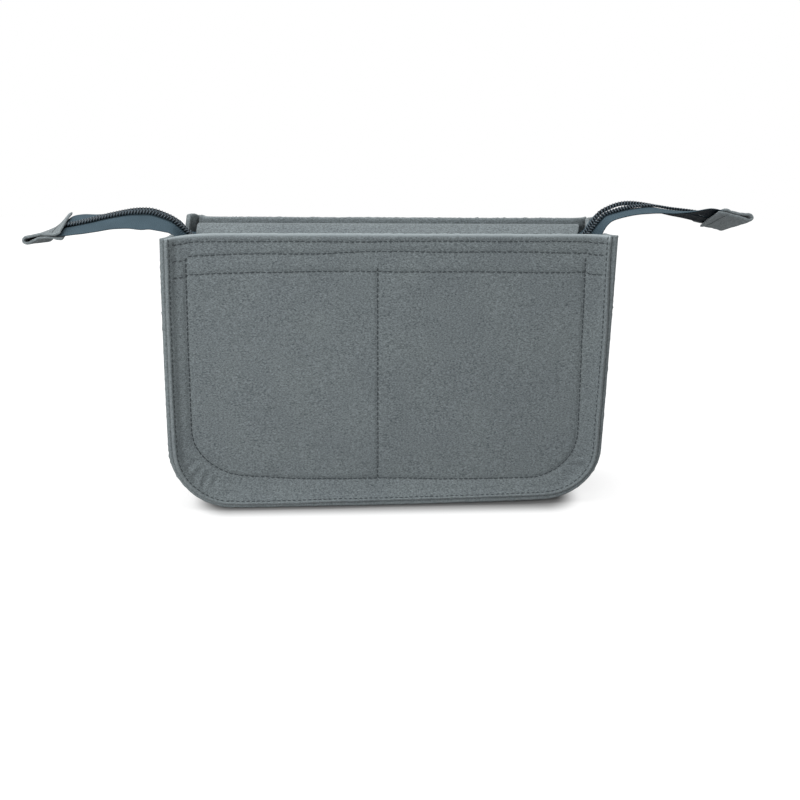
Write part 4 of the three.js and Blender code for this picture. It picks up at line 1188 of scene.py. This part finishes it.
def cut_edges(obj, rim):
    """Marks how near each point of a sheet lies to its cut edge, from 1 at the edge to 0, for the felt's pale
    fuzz; near the top, rim adds a painted highlight along the rim.
    """
    mesh = obj.data
    count = len(mesh.vertices)
    points = np.zeros(count * 3)
    mesh.vertices.foreach_get("co", points)
    points = points.reshape(-1, 3) / MM
    edges = np.zeros(len(mesh.edges) * 2, dtype=np.int64)
    mesh.edges.foreach_get("vertices", edges)
    a, b = edges.reshape(-1, 2).T
    through = (a < count // 2) != (b < count // 2)
    far = np.full(count, INLAND)
    far[a[through]] = 0
    far[b[through]] = 0
    length = np.linalg.norm(points[a] - points[b], axis=1)
    for _ in range(9):
        np.minimum.at(far, b, far[a] + length)
        np.minimum.at(far, a, far[b] + length)
    layer = mesh.attributes.new("cut", "FLOAT", "POINT")
    # Painted highlight: along the top edge the mark grows by rim.
    painted_rim_highlight = smooth((points[:, 2] - HEIGHT + 4) / 3)
    layer.data.foreach_set("value", np.exp(-(far / 1.3) ** 2) * (0.3 + rim * painted_rim_highlight))


def place(obj, body, material, slot, *nodes):
    """Gives a piece its material and its body, and hides the nodes of the part that it stands for."""
    obj.data.materials.clear()
    obj.data.materials.append(material)
    if slot == "felt":
        # Only the front panel's rim gets the painted highlight.
        cut_edges(obj, 1.7 if obj.name == "felt_panel_front" else 0.0)
    if body:
        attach(obj, body)
    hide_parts(*nodes)
    return obj


def piece(name, shape, *rest):
    """A new piece from its points and faces, in its place."""
    return place(mesh_object(name, *shape), *rest)


# Felt box

PATHS = {"left": TapePath(-1, LEFT_TAIL), "right": TapePath(1, RIGHT_TAIL)}
SIDES = (("front", -1), ("back", 1))

for side, sign in SIDES:
    panel = Panel(sign)
    obj = piece(f"felt_panel_{side}", panel.build(), "insert", felt, "felt", f"{side}_panel")
    seams = [f"{side}_{kind}_seam" for kind in ("edge", "pocket")]
    seams += [f"{side}_rim_seam_{row}" for row in ("top", "middle", "low")]
    ends = [-HALF + SEAM_INSET, HALF - SEAM_INSET]
    if side == "front":
        seams.append("front_divider_seam")
        ends.insert(1, DIVIDER_X)
    piece(f"stitches_{side}", panel_thread(panel), "insert", sewing, "thread", *seams)

    obj = piece(f"slip_pocket_{side}", pocket(sign, ends), "insert", felt, "felt", f"{side}_pocket")

    obj = piece(f"zip_flap_{side}", flap(sign), "insert", felt, "felt", f"{side}_zip_flap")
    piece(f"stitches_flap_{side}", flap_thread(sign), "insert", sewing, "thread", f"{side}_zip_seam")

obj = piece("gusset_strip", gusset(), "insert", felt_strip, "felt", "gusset")

# Zip

TAB_SHAPES = {"left": ((1.8, 0.3), 81, 0.6, 0.0), "right": ((0.2, 0.2), 83, 5.0, 4.0)}

for end, way, rise in (("left", -1, LEFT_RISE), ("right", 1, RIGHT_RISE)):
    path = PATHS[end]
    for side, sign in SIDES:
        verts, faces, weave = tape(path, sign)
        obj = mesh_object(f"tape_{side}_{end}", verts, faces)
        layer = obj.data.uv_layers.new(name="weave")
        index = np.zeros(len(obj.data.loops), dtype=np.int64)
        obj.data.loops.foreach_get("vertex_index", index)
        layer.data.foreach_set("uv", (np.tile(weave, (2, 1)) * MM)[index].ravel())
        # The underside is marked for the painted shade that the tape's material draws there.
        layer = obj.data.attributes.new("under", "FLOAT", "POINT")
        layer.data.foreach_set("value", np.repeat([0.0, 1.0], len(verts) // 2))
        place(obj, None, twill, "zip_tape", f"{side}_tape", f"{end}_tail_{side}_tape")
        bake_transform(obj)
        for name, shape, material in (("coil", coil, nylon), ("coil_cord", cord, filler)):
            obj = piece(f"{name}_{side}_{end}", shape(path, sign), None, material, "zip_coil",
                        f"{side}_coil", f"{end}_tail_{side}_coil")
            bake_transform(obj)
    leaf, threads = tab(path, *TAB_SHAPES[end])
    obj = piece(f"end_tab_{end}", leaf, f"{end}_tail", felt, "felt", f"{end}_end_tab")
    piece(f"stitches_tab_{end}", threads, f"{end}_tail", sewing, "thread", f"{end}_tab_seam")

place(slider_shell(), "slider", gold, "gilt_metal", "slider_body")
place(slider_bail(), "slider", gold, "gilt_metal", "slider_crown")
place(pull_drop(), "pull", gold, "gilt_metal", "pull_tab")

# Floor, light, camera

FLOOR_HALF, FLOOR_Z, FLOOR_TONE, FLOOR_GLOW = 900, -0.1, 0.36, 0.75
SHADE_REACH, SHADE_FADE = (0.085, 0.017), (0.009, 0.024)
ROOM_LIGHT, SEEN_LIGHT = 0.42, 1.0
corners = [(x * FLOOR_HALF, y * FLOOR_HALF, FLOOR_Z) for x, y in ((-1, -1), (1, -1), (1, 1), (-1, 1))]
floor = mesh_object("floor", corners, [[0, 1, 2, 3]])
n = Nodes(bpy.data.materials.new("pale_floor"))
n.finish(Base_Color=(FLOOR_TONE, FLOOR_TONE, FLOOR_TONE, 1), Roughness=0.9, Specular_IOR_Level=0.05)
# The floor glows white all round; round the part's footprint the glow is cut out, a painted shadow in which
# the floor shows its own tone and the real shade.
spot = n.add("ShaderNodeSeparateXYZ", {0: n.add("ShaderNodeTexCoord").outputs["Object"]})
squares = []
for k, reach in enumerate(SHADE_REACH):
    beyond = n.math("MAXIMUM", n.math("SUBTRACT", n.math("ABSOLUTE", spot.outputs[k]), reach), 0.0)
    squares.append(n.math("MULTIPLY", beyond, beyond))
apart = n.math("SQRT", n.math("ADD", *squares))
clear = n.add("ShaderNodeMapRange", {"Value": apart, "From Min": SHADE_FADE[0], "From Max": SHADE_FADE[1]},
              interpolation_type="SMOOTHSTEP").outputs["Result"]
strength = n.math("MULTIPLY", n.math("MULTIPLY", n.seen(), clear), FLOOR_GLOW)
glow = n.add("ShaderNodeEmission", {"Color": (1, 1, 1, 1), "Strength": strength})
both = n.add("ShaderNodeAddShader", {0: n.shader.outputs[0], 1: glow.outputs[0]})
n.put(n.tree.nodes["Material Output"].inputs["Surface"], both.outputs[0])
floor.data.materials.append(n.owner)

world = bpy.data.worlds.new("studio")
bpy.context.scene.world = world
n = Nodes(world, "Background")
level = n.add("ShaderNodeMapRange", {"Value": n.seen(), "To Min": ROOM_LIGHT, "To Max": SEEN_LIGHT})
n.finish(Color=(1, 1, 1, 1), Strength=level.outputs["Result"])


def lamp(name, place, target, size, power):
    """A round soft lamp that looks at a target."""
    light = bpy.data.lights.new(name, "AREA")
    light.shape = "DISK"
    light.size = size
    light.energy = power
    light.specular_factor = 0.2
    obj = link(name, light)
    obj.location = place
    obj.rotation_euler = (Vector(target) - Vector(place)).to_track_quat("-Z", "Y").to_euler()


lamp("overhead", (-0.15, 0.15, 1.5), (0, 0, 0.1), 1.2, 17.6)
lamp("front_left", (-0.58, -0.84, 0.4), (0, 0, 0.06), 0.7, 5.9)

CAMERA = (-0.0306, -0.5431, 0.2431)
YAW, PITCH, ROLL = math.radians(3.96), math.radians(19.38), math.radians(0.89)
FOCAL_PX, IMAGE_PX, SENSOR = 1042.0, 800.0, 36.0
ahead = Vector((math.sin(YAW) * math.cos(PITCH), math.cos(YAW) * math.cos(PITCH), -math.sin(PITCH)))
right = Vector((math.cos(YAW), -math.sin(YAW), 0))
above = right.cross(ahead)
turned = right * math.cos(ROLL) + above * math.sin(ROLL)
above = above * math.cos(ROLL) - right * math.sin(ROLL)
view = bpy.data.cameras.new("camera")
view.sensor_fit = "HORIZONTAL"
view.sensor_width = SENSOR
view.lens = FOCAL_PX / IMAGE_PX * SENSOR
view.clip_start = 0.01
camera = link("camera", view)
camera.matrix_world = Matrix.Translation(CAMERA) @ Matrix((turned, above, -ahead)).transposed().to_4x4()
bpy.context.scene.camera = camera
bpy.context.scene.view_settings.view_transform = "Standard"
